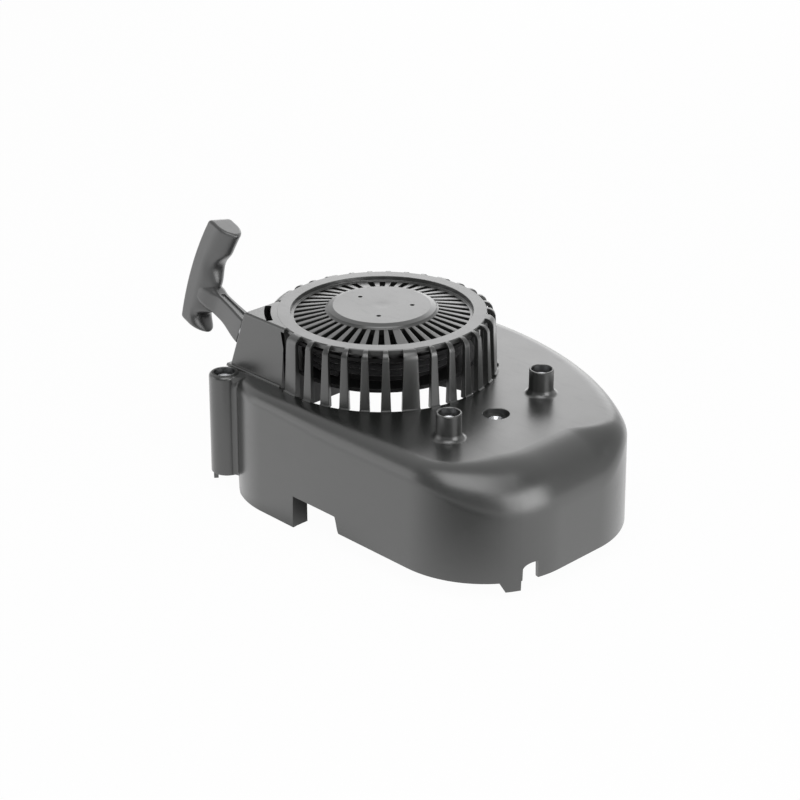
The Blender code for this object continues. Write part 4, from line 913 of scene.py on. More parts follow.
def guide_matrix():
    """Frame on the pull line: local Z runs outwards along the pull, zero at the guide's outer face."""
    share = GUIDE_RISE / CAGE_H
    seat = Vector((BOX_END_X + BOX_END_LEAN * share, BOX_FRONT_Y + GUIDE_SETBACK, PLATE_Z + GUIDE_RISE))
    columns = Matrix((BAR_SIDE.cross(PULL_DIR), BAR_SIDE, PULL_DIR)).transposed()
    return Matrix.Translation(seat + PULL_DIR * GUIDE_PROUD) @ columns.to_4x4()


def first_slot():
    """The cage slot next to the box, which bounds the box's front wall."""
    _, front = rope_box_angles()
    angle = min(a for a in cage_slots() if a > front)
    near, far = CAGE_R - CAGE_LEAN - SHOULDER_R, CAGE_FOOT_R + WALL
    rows = []
    for z in (PLATE_Z - WALL, PLATE_Z, RING_TOP_Z, RING_TOP_Z + WALL):
        half = slot_half(max(z, PLATE_Z))
        corners = [Vector((near, -half)), Vector((far, -half)), Vector((far, half)), Vector((near, half))]
        rows.append([(*(Matrix.Rotation(angle, 2) @ corner), z) for corner in corners])
    return loft(rows)


def build_rope_box():
    top = RING_TOP_Z - SHY
    bm = box_solid(0.0, PLATE_Z - SINK, top, BOX_INNER_X)
    edges = [e for e in bm.edges if max(v.co.x for v in e.verts) < BOX_INNER_X - WALL]
    high = [e for e in bm.edges if min(v.co.z for v in e.verts) > top - SINK and e not in edges]
    bmesh.ops.bevel(bm, geom=edges + high, offset=BOX_EDGE, segments=5, affect="EDGES", profile=0.5)
    box = new_object("rope_box", bm)
    ledge = box_solid(-BOX_FOOT_W, PLATE_Z - SINK, PLATE_Z + BOX_FOOT_H, BOX_INNER_X)
    rim = [e for e in ledge.edges if max(v.co.x for v in e.verts) < BOX_INNER_X - WALL
           or min(v.co.z for v in e.verts) > PLATE_Z]
    bmesh.ops.bevel(ledge, geom=rim, offset=EDGE, segments=3, affect="EDGES", profile=0.5)
    join(box, ledge)
    wall_inner = CAGE_R - RIB_T + SINK / 2
    under = RING_TOP_Z - RING_T + SINK
    ring_inner = CAGE_R - CAGE_LEAN - SHOULDER_R - NOTCH_SLOPE - 2 * EDGE
    cut(box, turned([(0.0, PLATE_Z - WALL), (wall_inner, PLATE_Z - WALL), (wall_inner, under),
                     (ring_inner, under), (ring_inner, DISC_TOP_Z), (0.0, DISC_TOP_Z)], 240))
    cut(box, box_solid(BOX_WALL, PLATE_Z + BOX_WALL, RING_TOP_Z - RING_T, BOX_INNER_X + WALL))
    outline = arc((0.0, 0.0), BOX_HOLE_R[0], *BOX_HOLE_ANGLES, 16)
    outline += arc((0.0, 0.0), BOX_HOLE_R[1], *BOX_HOLE_ANGLES[::-1], 16)
    cut(box, prism(fillet(outline, EDGE * 2), RING_TOP_Z - RING_T - WALL, RING_TOP_Z + WALL))
    cut(box, first_slot())
    seat = guide_matrix()
    cut(box, cylinder(GUIDE_FLANGE_R + SEAT_GAP, -GUIDE_FLANGE_T - SEAT_GAP, CAGE_FOOT_R / 4, 72, seat))
    cut(box, cylinder(GUIDE_TUBE_R + SEAT_GAP, -CAGE_FOOT_R / 5, CAGE_FOOT_R / 4, 72, seat))
    return box


# Bushes, inserts and the rope guide


def build_bushes():
    """Yields each fixed metal tube with its node's name."""
    for name, (centre, _, _, foot) in column_places().items():
        piece = new_object(f"{name}_column_tube", tube(BUSH_BORE_R, BUSH_R, foot, BUSH_TOP_Z))
        piece.data.transform(at(centre.x, centre.y))
        yield piece, f"{name}_column_bush"
    top = PLATE_Z - PLATE_RECESS_DEPTH
    piece = new_object("plate_tube", tube(BUSH_BORE_R, PLATE_BUSH_R, top - PLATE_BUSH_L, top))
    piece.data.transform(at(*PLATE_BUSH))
    yield piece, "plate_bush"
    top = PLATE_Z + BOSS_H - INSERT_DEPTH
    for name, spot in (("near", NEAR_BOSS), ("far", FAR_BOSS)):
        piece = new_object(f"{name}_insert", tube(INSERT_BORE_R, BOSS_BORE_R - SEAT_GAP, top - INSERT_L, top))
        piece.data.transform(at(*spot))
        yield piece, f"{name}_boss_insert"


def build_rope_guide():
    bore = ROPE_R + GUIDE_PLAY
    lip = GUIDE_FLANGE_T / 2
    profile = fillet([(bore, -GUIDE_L), (GUIDE_TUBE_R, -GUIDE_L, EDGE / 2), (GUIDE_TUBE_R, -GUIDE_FLANGE_T, 0.0),
                      (GUIDE_FLANGE_R, -GUIDE_FLANGE_T, EDGE / 2), (GUIDE_FLANGE_R, 0.0, lip), (bore, 0.0, lip)],
                     EDGE)
    return new_object("guide_eyelet", turned(profile, 72, guide_matrix()))


# Pulley, rope and recoil spring


def build_pulley():
    bore = POST_R + RUN_GAP
    inner = DRUM_R - DRUM_T
    upper = UPPER_FLANGE_Z + FLANGE_T
    cup_in = CUP_R - CUP_T
    profile = fillet([(bore, PULLEY_Z), (HUB_R, PULLEY_Z), (HUB_R, WEB_Z), (inner, WEB_Z), (inner, PULLEY_Z),
                      (FLANGE_R, PULLEY_Z), (FLANGE_R, GROOVE_Z), (DRUM_R, GROOVE_Z), (DRUM_R, UPPER_FLANGE_Z),
                      (FLANGE_R, UPPER_FLANGE_Z), (FLANGE_R, upper), (inner, upper), (inner, WEB_TOP_Z),
                      (CUP_R, WEB_TOP_Z), (CUP_R, CUP_TOP_Z), (cup_in, CUP_TOP_Z), (cup_in, WEB_TOP_Z),
                      (HUB_R, WEB_TOP_Z), (HUB_R, CUP_TOP_Z), (bore, CUP_TOP_Z)], EDGE)
    pulley = new_object("pulley_body", turned(profile, 144))
    for turn in (0.0, math.pi):
        place = Matrix.Rotation(turn, 4, "Z") @ at(PAWL_CIRCLE_R, 0.0)
        join(pulley, cylinder(PAWL_BOSS_R, PAWL_TOP_Z + SEAT_GAP, WEB_Z + WEB_T / 2, 48, place))
        cut(pulley, cylinder(PAWL_PIN_R + SEAT_GAP, PAWL_Z, WEB_Z, 48, place))
    hole = cylinder(ROPE_R + SEAT_GAP, -DRUM_T, DRUM_T, 32, Matrix.Rotation(math.pi / 2, 4, "Y"))
    bmesh.ops.translate(hole, vec=(DRUM_R - DRUM_T / 2, 0.0, WIND_Z), verts=hole.verts)
    bmesh.ops.rotate(hole, matrix=Matrix.Rotation(lead_off(), 3, "Z"), verts=hole.verts)
    cut(pulley, hole)
    return pulley


def lead_off():
    """Where the rope leaves the winding: the tangent point that looks at the guide."""
    guide = guide_matrix().translation
    return math.atan2(guide.y, guide.x) + math.acos(WIND_R / math.hypot(guide.x, guide.y))


def travel(angle):
    return Vector((math.sin(angle), -math.cos(angle), 0.0))


def winding_points(per_turn):
    """The rope on the drum: a helix with a short straight end at each side."""
    points = []
    first = lead_off() + 2 * math.pi * WIND_TURNS
    for k in range(WIND_TURNS * per_turn + 1):
        angle = first - 2 * math.pi * k / per_turn
        points.append(Vector((WIND_R * math.cos(angle), WIND_R * math.sin(angle), WIND_Z + WIND_PITCH * k / per_turn)))
    return [points[0] - travel(first) * ROPE_D] + points + [points[-1] + travel(lead_off()) * ROPE_D]


def curve_through(points, step):
    """Points about a step apart on a smooth curve through the given ones."""
    padded = [points[0] * 2 - points[1]] + points + [points[-1] * 2 - points[-2]]
    result = []
    for i in range(len(points) - 1):
        a, b, c, d = padded[i:i + 4]
        count = max(1, round((c - b).length / step))
        for k in range(count):
            u = k / count
            bend = (2 * a - 5 * b + 4 * c - d) * u**2 + (3 * b - a - 3 * c + d) * u**3
            result.append(0.5 * (2 * b + (c - a) * u + bend))
    return result + [points[-1]]


def swept(points, radius, sides, relief=0.0, lay=0.006, strands=4):
    """A tube along points. Relief raises crossing strands on it, as on a braided rope."""
    rows = []
    run = 0.0
    for i, point in enumerate(points):
        ahead = points[min(i + 1, len(points) - 1)] - points[max(i - 1, 0)]
        side = ahead.cross(Vector((0.0, 0.0, 1.0))).normalized()
        up = side.cross(ahead).normalized()
        run += (point - points[max(i - 1, 0)]).length
        row = []
        for k in range(sides):
            angle = 2 * math.pi * k / sides
            twist = 2 * math.pi * run / lay
            weave = max(math.cos(strands * angle + twist), math.cos(strands * angle - twist))
            reach = radius * (1 - relief * (1 - weave) / 2)
            row.append(point + (side * math.cos(angle) + up * math.sin(angle)) * reach)
        rows.append(row)
    return loft(rows)


def rope_route():
    """The run from the winding to the guide's outer face."""
    seat = guide_matrix()
    winding = winding_points(LOOP_POINTS)
    away = (winding[-1] - winding[-2]).normalized()
    depths = (-GUIDE_L - ROPE_R / 2, -GUIDE_L / 2, -SEAT_GAP)
    mouth, middle, outlet = [seat @ Vector((0.0, 0.0, z)) for z in depths]
    route = [winding[-1] + away * reach for reach in (SEAT_GAP, 3 * ROPE_D, 6 * ROPE_D)]
    return route + [route[-1].lerp(mouth, share) for share in (0.35, 0.65, 0.88)] + [mouth, middle, outlet]


def knot_solid():
    """A stopper knot: two tight rope loops crossed round the rope's end."""
    loops = []
    for tilt in (0.5, -0.5):
        points = [Vector((math.cos(a), math.sin(a), tilt * math.cos(a))) * (KNOT_R - ROPE_R * 0.85)
                  for a in (2 * math.pi * k / 28 for k in range(28))]
        rows = []
        for i, point in enumerate(points):
            ahead = points[(i + 1) % 28] - points[i - 1]
            side = ahead.cross(Vector((0.0, 0.0, 1.0))).normalized()
            up = side.cross(ahead).normalized()
            rows.append([point + (side * math.cos(t) + up * math.sin(t)) * ROPE_R * 0.85
                         for t in (2 * math.pi * k / 16 for k in range(16))])
        loops.append(loft(rows, True))
    return merge(loops)


def build_recoil_spring():
    """A flat strip with eased edges, wound in a spiral between the hub and the cup."""
    inner = HUB_R + SEAT_GAP + SPRING_T
    outer = CUP_R - CUP_T - SEAT_GAP - SPRING_T
    low = WEB_TOP_Z + SEAT_GAP
    high = CUP_TOP_Z - SEAT_GAP
    half = SPRING_T / 2
    section = fillet([(-half, low), (half, low), (half, high), (-half, high)], half / 2, 2)
    count = SPRING_TURNS * 56
    rows = []
    for k in range(count + 1):
        angle = 2 * math.pi * k / 56
        radius = inner + (outer - inner) * k / count
        rows.append([((radius + x) * math.cos(angle), (radius + x) * math.sin(angle), z) for x, z in section])
    return new_object("spiral_spring", loft(rows))


# Pawls, pawl guide, springs and centre screw


def eased(bm, width=0.0003):
    """Rounds the sharp edges of a simple solid."""
    bmesh.ops.recalc_face_normals(bm, faces=bm.faces)
    sharp = [e for e in bm.edges if e.calc_face_angle(0.0) > math.radians(40.0)]
    bmesh.ops.bevel(bm, geom=sharp, offset=width, segments=3, affect="EDGES", profile=0.5)
    return bm


def pawl_outline():
    """A lever: a round eye at the pivot, tapering to a blunt tip."""
    tip = PAWL_TIP_W / 2
    side = math.pi / 2 - math.asin((PAWL_EYE_R - tip) / PAWL_L)
    return arc((PAWL_L, 0.0), tip, -side, side, 16) + arc((0.0, 0.0), PAWL_EYE_R, side, 2 * math.pi - side, 40)


def build_pawl(index, turn):
    pawl = new_object(f"pawl_lever_{index}", eased(prism(pawl_outline(), PAWL_Z, PAWL_TOP_Z)))
    cut(pawl, cylinder(PAWL_PIN_R + SEAT_GAP, PAWL_Z - WALL, PAWL_TOP_Z + WALL, 48))
    join(pawl, cylinder(PEG_R, GUIDE_PLATE_Z, PAWL_Z + WALL / 2, 32, at(PEG_REACH, 0.0)))
    spot = Matrix.Rotation(turn, 4, "Z") @ at(PAWL_CIRCLE_R, 0.0)
    pawl.data.transform(spot @ Matrix.Rotation(PAWL_AIM, 4, "Z"))
    return pawl


def coil_points(core, wire, low, pitch, turns, per_turn):
    """A helix of wire round a core."""
    radius = (core + SEAT_GAP + wire) / math.cos(math.pi / CURL_POINTS)
    points = []
    for k in range(turns * per_turn + 1):
        angle = 2 * math.pi * k / per_turn
        points.append(Vector((radius * math.cos(angle), radius * math.sin(angle), low + pitch * k / per_turn)))
    return points


def peg_path(steps):
    """Track of a pawl's peg seen from the pawl guide, as the guide turns and the pawl swings out."""
    path = []
    for k in range(steps + 1):
        aim = PAWL_AIM - PAWL_SWING * k / steps
        peg = Vector((PAWL_CIRCLE_R + PEG_REACH * math.cos(aim), PEG_REACH * math.sin(aim)))
        path.append(Matrix.Rotation(-GUIDE_TURN * k / steps, 2) @ peg)
    return path


def build_pawl_guide():
    guide = new_object("pawl_plate", sleeve(POST_R + RUN_GAP, GUIDE_PLATE_R, GUIDE_PLATE_Z, GUIDE_PLATE_TOP_Z, EDGE, 96))
    path = peg_path(16)
    half = PEG_R + 2 * RUN_GAP
    path.insert(0, path[0] + (path[0] - path[1]).normalized() * half)
    path.append(path[-1] + (path[-1] - path[-2]).normalized() * half)
    left, right = [], []
    for i, point in enumerate(path):
        along = (path[min(i + 1, len(path) - 1)] - path[max(i - 1, 0)]).normalized()
        side = Vector((-along.y, along.x)) * half
        left.append(point + side)
        right.append(point - side)
    outline = fillet([(p.x, p.y) for p in left + right[::-1]], half * 0.8)
    for turn in (0.0, math.pi):
        slot = prism(outline, GUIDE_PLATE_Z - WALL, GUIDE_PLATE_TOP_Z + WALL)
        bmesh.ops.rotate(slot, matrix=Matrix.Rotation(turn, 3, "Z"), verts=slot.verts)
        cut(guide, slot)
    return guide


def build_screw():
    """A hexagon screw with a chamfered head and a rounded end."""
    head_low = SCREW_SEAT_Z - SCREW_HEAD_H
    chamfer = SCREW_HEAD_H * 0.18
    across = SCREW_HEAD_ACROSS / 2
    rows = []
    for radius, height, hexed in ((across - chamfer * 1.5, head_low, False), (across, head_low + chamfer, False),
                                  (across, head_low + 2 * chamfer, True), (across, SCREW_SEAT_Z, True),
                                  (SCREW_R, SCREW_SEAT_Z, False), (SCREW_R, SCREW_SEAT_Z + SCREW_L - EDGE, False),
                                  (SCREW_R - EDGE, SCREW_SEAT_Z + SCREW_L, False)):
        row = []
        for k in range(72):
            angle = 2 * math.pi * k / 72
            reach = radius / math.cos(angle % (math.pi / 3) - math.pi / 6) if hexed else radius
            row.append((reach * math.cos(angle), reach * math.sin(angle), height))
        rows.append(row)
    return new_object("centre_bolt", loft(rows))


# Handle


def grip_face(z):
    """Distance along the pull to the grip's outer face, which bows outwards between its ends."""
    middle = (BAR_UP - BAR_DOWN) / 2
    half = (BAR_UP + BAR_DOWN) / 2
    return BAR_REACH + BAR_BOW * (1 - ((z - middle) / half) ** 2)


def hollow_share(z, hollow):
    """How far a finger hollow is cut in at one height, from 0 at its ends to 1 in its middle."""
    centre, half, _ = hollow
    return 0.5 * (1 + math.cos(math.pi * min(1.0, abs(z - centre) / half)))


def bar_ring(z, draw_in=0.0):
    """Section of the grip at one height: flat outside, with flanks that draw in to a round finger side."""
    upper = hollow_share(z, UPPER_HOLLOW)
    lower = hollow_share(z, LOWER_HOLLOW)
    depth = BAR_DEPTH - UPPER_HOLLOW[2] * upper - LOWER_HOLLOW[2] * lower
    blunt = max(upper, lower)
    half = BAR_HALF_Y
    flank = []
    for k in range(1, 7):
        turn = math.pi / 2 * k / 6
        flank.append((-BAR_EDGE * (1 - math.cos(turn)), half - BAR_EDGE * (1 - math.sin(turn))))
    flank.append((-(BAR_EDGE + BAR_FLANK) / 2, half))
    for k in range(14):
        share = math.sin(math.pi / 2 * k / 14)
        width = (1 - share**2) ** (1 / (1.7 + 0.6 * blunt))
        flank.append((-BAR_FLANK - (depth - BAR_FLANK) * share, half * width))
    outline = [(0.0, half - BAR_EDGE)] + flank + [(-depth, 0.0)]
    outline += [(x, -y) for x, y in reversed(flank)] + [(0.0, BAR_EDGE - half)]
    shrink = 1 - draw_in / half
    middle = depth / 2
    return [(grip_face(z) - middle + (x + middle) * shrink, y * shrink, z) for x, y in outline]


def rounded_ring(x, y_half, z_low, z_high, corner, steps=6):
    """A rounded rectangle of points across the stem at one distance along it."""
    ring = []
    y, low, high = y_half - corner, z_low + corner, z_high - corner
    for cy, cz, start in ((y, high, 0.0), (-y, high, math.pi / 2), (-y, low, math.pi), (y, low, 1.5 * math.pi)):
        ring += [(x, a, b) for a, b in arc((cy, cz), corner, start, start + math.pi / 2, steps)]
    return ring


def stem_blend(x):
    """How far the stem has widened into the grip, from 0 along the stem to 1 inside the grip."""
    root = BAR_REACH - BAR_DEPTH
    return smooth(x, root - STEM_ROOT_L, root + STEM_BLEND_L)


def stem_size(x):
    """Half width, underside and top of the stem, which flares down at the rope box and out into the grip."""
    root = BAR_REACH - BAR_DEPTH
    nose = 1 - smooth(x, 0.0, NOSE_L)
    flare = (STEM_ROOT_Z - STEM_HALF_Z) * smooth(x, root - STEM_ROOT_L / 2, root + STEM_ROOT_L)
    y_half = STEM_HALF_Y + (NOSE_HALF_Y - STEM_HALF_Y) * nose + (STEM_ROOT_Y - STEM_HALF_Y) * stem_blend(x)
    return y_half, -STEM_HALF_Z - NOSE_DROP * nose - flare, STEM_HALF_Z + flare


def build_handle():
    length = BAR_UP + BAR_DOWN
    rows = []
    for k in range(5):
        turn = math.pi / 2 * k / 4
        rows.append(bar_ring(-BAR_DOWN + BAR_EDGE * (1 - math.cos(turn)), BAR_EDGE * (1 - math.sin(turn))))
    rows += [bar_ring(-BAR_DOWN + BAR_EDGE + (length - 2 * BAR_EDGE) * k / 56) for k in range(1, 56)]
    for k in range(5):
        turn = math.pi / 2 * (1 - k / 4)
        rows.append(bar_ring(BAR_UP - BAR_EDGE * (1 - math.cos(turn)), BAR_EDGE * (1 - math.sin(turn))))
    handle = new_object("t_handle", loft(rows))
    root = BAR_REACH - BAR_DEPTH
    count = 40
    sections = [(SEAT_GAP, EDGE)] + [(SEAT_GAP + EDGE + (root + STEM_BLEND_L - EDGE) * k / count, 0.0)
                                     for k in range(count + 1)]
    stem = []
    for x, draw_in in sections:
        y_half, z_low, z_high = stem_size(x)
        corner = STEM_CORNER + (STEM_ROOT_CORNER - STEM_CORNER) * stem_blend(x)
        stem.append(rounded_ring(x, y_half - draw_in, z_low + draw_in, z_high - draw_in, corner))
    join(handle, loft(stem))
    half = STEM_GROOVE_W / 2
    cut(handle, eased(block(half, root - half, -half, half, STEM_HALF_Z - STEM_GROOVE_D, STEM_HALF_Z + WALL)))
    along = Matrix.Rotation(math.pi / 2, 4, "Y")
    back = grip_face(0.0)
    cut(handle, cylinder(ROPE_R + GUIDE_PLAY, -WALL, back, 48, along))
    cut(handle, cylinder(POCKET_R, back - POCKET_DEPTH, back + WALL, 72, along))
    face = back - CAP_SINK
    plug = fillet([(0.0, face - CAP_T), (POCKET_R - SEAT_GAP, face - CAP_T), (POCKET_R - SEAT_GAP, face, 2 * EDGE),
                   (0.0, face)], EDGE)
    cap = new_object("pocket_plug", turned(plug, 72, along))
    place = Matrix.Translation(guide_matrix().translation)
    place = place @ Matrix((PULL_DIR, BAR_SIDE, BAR_DIR)).transposed().to_4x4()
    for piece in (handle, cap):
        piece.data.transform(place)
    return handle, cap


# Materials


def new_material(name):
    material = bpy.data.materials.new(name)
    material.use_nodes = True
    return material, material.node_tree, material.node_tree.nodes["Principled BSDF"]


def noise(tree, scale, detail, vector=None, stretch=None):
    """A noise pattern in the object's own metres; stretch squeezes it along each axis."""
    source = vector or tree.nodes.new("ShaderNodeTexCoord").outputs["Object"]
    if stretch:
        mapping = tree.nodes.new("ShaderNodeMapping")
        mapping.inputs["Scale"].default_value = stretch
        tree.links.new(source, mapping.inputs["Vector"])
        source = mapping.outputs["Vector"]
    pattern = tree.nodes.new("ShaderNodeTexNoise")
    pattern.inputs["Scale"].default_value = scale
    pattern.inputs["Detail"].default_value = detail
    tree.links.new(source, pattern.inputs["Vector"])
    return pattern.outputs["Fac"]


def spread_value(tree, value, low, high, to_low, to_high):
    fit = tree.nodes.new("ShaderNodeMapRange")
    for name, number in zip(("From Min", "From Max", "To Min", "To Max"), (low, high, to_low, to_high)):
        fit.inputs[name].default_value = number
    tree.links.new(value, fit.inputs["Value"])
    return fit.outputs["Result"]


def mix_colour(tree, factor, first, second):
    mix = tree.nodes.new("ShaderNodeMix")
    mix.data_type = "RGBA"
    tree.links.new(factor, mix.inputs["Factor"])
    for socket, colour in ((mix.inputs[6], first), (mix.inputs[7], second)):
        if isinstance(colour, tuple):
            socket.default_value = (*colour, 1.0)
        else:
            tree.links.new(colour, socket)
    return mix.outputs[2]


def math_node(tree, operation, first, second):
    calc = tree.nodes.new("ShaderNodeMath")
    calc.operation = operation
    for socket, value in zip(calc.inputs, (first, second)):
        if isinstance(value, (int, float)):
            socket.default_value = value
        else:
            tree.links.new(value, socket)
    return calc.outputs["Value"]


def add_bump(tree, shader, height, strength, distance, under=None):
    bump = tree.nodes.new("ShaderNodeBump")
    bump.inputs["Strength"].default_value = strength
    bump.inputs["Distance"].default_value = distance
    tree.links.new(height, bump.inputs["Height"])
    if under:
        tree.links.new(under, bump.inputs["Normal"])
    tree.links.new(bump.outputs["Normal"], shader.inputs["Normal"])
    return bump.outputs["Normal"]


def edge_wear_and_highlight_mask(tree, radius):
    """One on outer edges and fading over the radius. It paints the edges paler: partly handling wear, partly a painted
    highlight standing in for the light that edges catch.
    """
    bevel = tree.nodes.new("ShaderNodeBevel")
    bevel.samples = 4
    bevel.inputs["Radius"].default_value = radius
    geometry = tree.nodes.new("ShaderNodeNewGeometry")
    dot = tree.nodes.new("ShaderNodeVectorMath")
    dot.operation = "DOT_PRODUCT"
    tree.links.new(bevel.outputs["Normal"], dot.inputs[0])
    tree.links.new(geometry.outputs["Normal"], dot.inputs[1])
    return spread_value(tree, dot.outputs["Value"], 0.99, 0.80, 0.0, 1.0)


def moulded_plastic(name, colour, roughness, shine=1.0, grain=0.10):
    """Satin moulded plastic: spark-textured grain, faint flow marks, scuffs, and paler edges that are partly wear and
    partly a painted edge highlight.
    """
    material, tree, shader = new_material(name)
    shader.inputs["Specular IOR Level"].default_value = shine
    shader.inputs["Coat Weight"].default_value = 0.9 * shine
    shader.inputs["Coat Roughness"].default_value = roughness - 0.08
    dark = tuple(c * 0.84 for c in colour)
    pale = tuple(c * 1.18 for c in colour)
    # Paler colour for the edges: handling wear, and a painted highlight where edges catch the light.
    worn_and_highlit_edge = tuple(c * 1.9 for c in colour)
    flow = noise(tree, 26.0, 4.0)
    clouds = mix_colour(tree, spread_value(tree, flow, 0.3, 0.7, 0.0, 1.0), dark, pale)
    scuffs = noise(tree, 70.0, 6.0, stretch=(1.0, 5.0, 2.0))
    scuffed = spread_value(tree, scuffs, 0.62, 0.78, 0.0, 0.35)
    # Edge mask times scuff noise: where the edges are painted paler, as wear and as a painted highlight.
    wear_and_edge_highlight = math_node(tree, "MULTIPLY", edge_wear_and_highlight_mask(tree, 0.0007), spread_value(tree, scuffs, 0.3, 0.6, 0.25, 0.8))
    tree.links.new(mix_colour(tree, math_node(tree, "MAXIMUM", wear_and_edge_highlight, scuffed), clouds, worn_and_highlit_edge),
                   shader.inputs["Base Color"])
    gloss = math_node(tree, "ADD", spread_value(tree, flow, 0.3, 0.7, roughness - 0.04, roughness + 0.04),
                      spread_value(tree, scuffs, 0.55, 0.8, 0.0, 0.08))
    tree.links.new(gloss, shader.inputs["Roughness"])
    add_bump(tree, shader, noise(tree, 1900.0, 2.0), grain, 0.0003)
    return material


def plated_metal(name, colour, roughness, tint):
    """Turned and plated metal: fine rings from turning, cloudy plating and small stains."""
    material, tree, shader = new_material(name)
    shader.inputs["Metallic"].default_value = 1.0
    clouds = noise(tree, 220.0, 4.0)
    stained = mix_colour(tree, spread_value(tree, clouds, 0.35, 0.7, 0.0, 1.0), colour, tint)
    tree.links.new(stained, shader.inputs["Base Color"])
    rings = noise(tree, 900.0, 3.0, stretch=(0.25, 0.25, 6.0))
    tree.links.new(spread_value(tree, rings, 0.3, 0.7, roughness - 0.07, roughness + 0.09), shader.inputs["Roughness"])
    add_bump(tree, shader, rings, 0.12, 0.0002)
    return material


def braided_fibre(name, colour):
    """Black braided rope: strand shadows, stray fibres and a soft sheen."""
    material, tree, shader = new_material(name)
    shader.inputs["Roughness"].default_value = 0.78
    shader.inputs["Sheen Weight"].default_value = 0.25
    shader.inputs["Sheen Roughness"].default_value = 0.5
    fibres = noise(tree, 2400.0, 4.0)
    tree.links.new(mix_colour(tree, spread_value(tree, fibres, 0.35, 0.7, 0.0, 1.0),
                              tuple(c * 0.6 for c in colour), tuple(c * 1.7 for c in colour)),
                   shader.inputs["Base Color"])
    add_bump(tree, shader, fibres, 0.5, 0.0003)
    return material


def seen_rays(tree):
    """Light Path outputs: straight to the eye or through glass, and by reflection."""
    path = tree.nodes.new("ShaderNodeLightPath")
    direct = math_node(tree, "MAXIMUM", path.outputs["Is Camera Ray"], path.outputs["Is Transmission Ray"])
    return direct, path.outputs["Is Glossy Ray"]


def white_stage(name):
    """A white floor that shows plain white but keeps a soft shadow, and dims in reflections towards the eye. Under the
    cowl its glow in reflections is dimmed as a painted shade for the cowl's unlit inside.
    """
    material, tree, shader = new_material(name)
    tree.nodes.remove(shader)
    diffuse = tree.nodes.new("ShaderNodeBsdfDiffuse")
    diffuse.inputs["Color"].default_value = (0.9, 0.9, 0.9, 1.0)
    glow = tree.nodes.new("ShaderNodeEmission")
    coords = tree.nodes.new("ShaderNodeTexCoord")
    direct, mirrored = seen_rays(tree)
    # The floor's glow in reflections is dimmed towards the eye, and dimmed under the cowl as a painted shade.
    spots = []
    for place, reach in (DIM_FRONT, PAINTED_SHADE_UNDER):
        away = tree.nodes.new("ShaderNodeVectorMath")
        away.operation = "DISTANCE"
        away.inputs[1].default_value = place + SHIFT
        tree.links.new(coords.outputs["Object"], away.inputs[0])
        spots.append(spread_value(tree, away.outputs["Value"], reach[0], reach[1], DIM_LEVEL, 1.0))
    lit = math_node(tree, "MINIMUM", *spots)
    tree.links.new(math_node(tree, "MAXIMUM", math_node(tree, "SUBTRACT", 1.0, mirrored), lit),
                   glow.inputs["Strength"])
    mix = tree.nodes.new("ShaderNodeMixShader")
    tree.links.new(math_node(tree, "MULTIPLY", math_node(tree, "MAXIMUM", direct, mirrored), FLOOR_WHITE),
                   mix.inputs["Fac"])
    tree.links.new(diffuse.outputs["BSDF"], mix.inputs[1])
    tree.links.new(glow.outputs["Emission"], mix.inputs[2])
    tree.links.new(mix.outputs["Shader"], tree.nodes["Material Output"].inputs["Surface"])
    return material


# Studio


FLOOR_WHITE = 0.97
FLOOR_SIZE = 6.0
DIM_FRONT = (Vector((0.27, -0.30, 0.0)), (0.10, 0.24))
# Painted shade: the floor's glow in reflections is dimmed here under the cowl, standing in for the shade inside the
# cowl.
PAINTED_SHADE_UNDER = (Vector((0.03, 0.01, 0.0)), (0.075, 0.125))
DIM_LEVEL = 0.08
WORLD_FILL = 0.30
ROOM_DARK = 0.22
ROOM_BRIGHT = 0.7
BACK_LIGHT = (Vector((-0.85, 1.10, 0.54)), 1.0, 3.5)
LEFT_LIGHT = (Vector((-0.95, -1.10, 0.36)), 0.9, 2.4)
RIGHT_LIGHT = (Vector((1.35, 0.10, 0.40)), 0.9, 8.0)
TOP_LIGHT = (Vector((0.50, -0.45, 1.25)), 1.1, 8.0)


def add_light(name, place, size, power, aim):
    lamp = bpy.data.lights.new(name, "AREA")
    lamp.size = size
    lamp.energy = power
    obj = bpy.data.objects.new(name, lamp)
    obj.location = place
    obj.rotation_euler = (aim - place).to_track_quat("-Z", "Y").to_euler()
    bpy.context.scene.collection.objects.link(obj)


def build_studio():
    floor = new_object("studio_floor", block(-FLOOR_SIZE, FLOOR_SIZE, -FLOOR_SIZE, FLOOR_SIZE, -0.02, 0.0))
    floor.data.materials.append(white_stage("studio_white"))
    aim = Vector((0.0, 0.0, 0.06))
    for name, (place, size, power) in (("back_softbox", BACK_LIGHT), ("left_softbox", LEFT_LIGHT),
                                       ("right_softbox", RIGHT_LIGHT), ("top_softbox", TOP_LIGHT)):
        add_light(name, place, size, power, aim)
    world = bpy.data.worlds.new("studio_world")
    bpy.context.scene.world = world
    world.use_nodes = True
    tree = world.node_tree
    direct, mirrored = seen_rays(tree)
    towards = tree.nodes.new("ShaderNodeVectorMath")
    towards.operation = "DOT_PRODUCT"
    towards.inputs[1].default_value = Vector((CAMERA_AIM.x, CAMERA_AIM.y, 0.0)).normalized()
    tree.links.new(tree.nodes.new("ShaderNodeTexCoord").outputs["Generated"], towards.inputs[0])
    room = spread_value(tree, towards.outputs["Value"], -0.4, 0.5, ROOM_DARK, ROOM_BRIGHT)
    around = math_node(tree, "MAXIMUM", math_node(tree, "MULTIPLY", mirrored, room), WORLD_FILL)
    strength = math_node(tree, "MAXIMUM", around, direct)
    background = tree.nodes["Background"]
    background.inputs["Color"].default_value = (1.0, 1.0, 1.0, 1.0)
    tree.links.new(strength, background.inputs["Strength"])
    bpy.context.scene.view_settings.view_transform = "Standard"


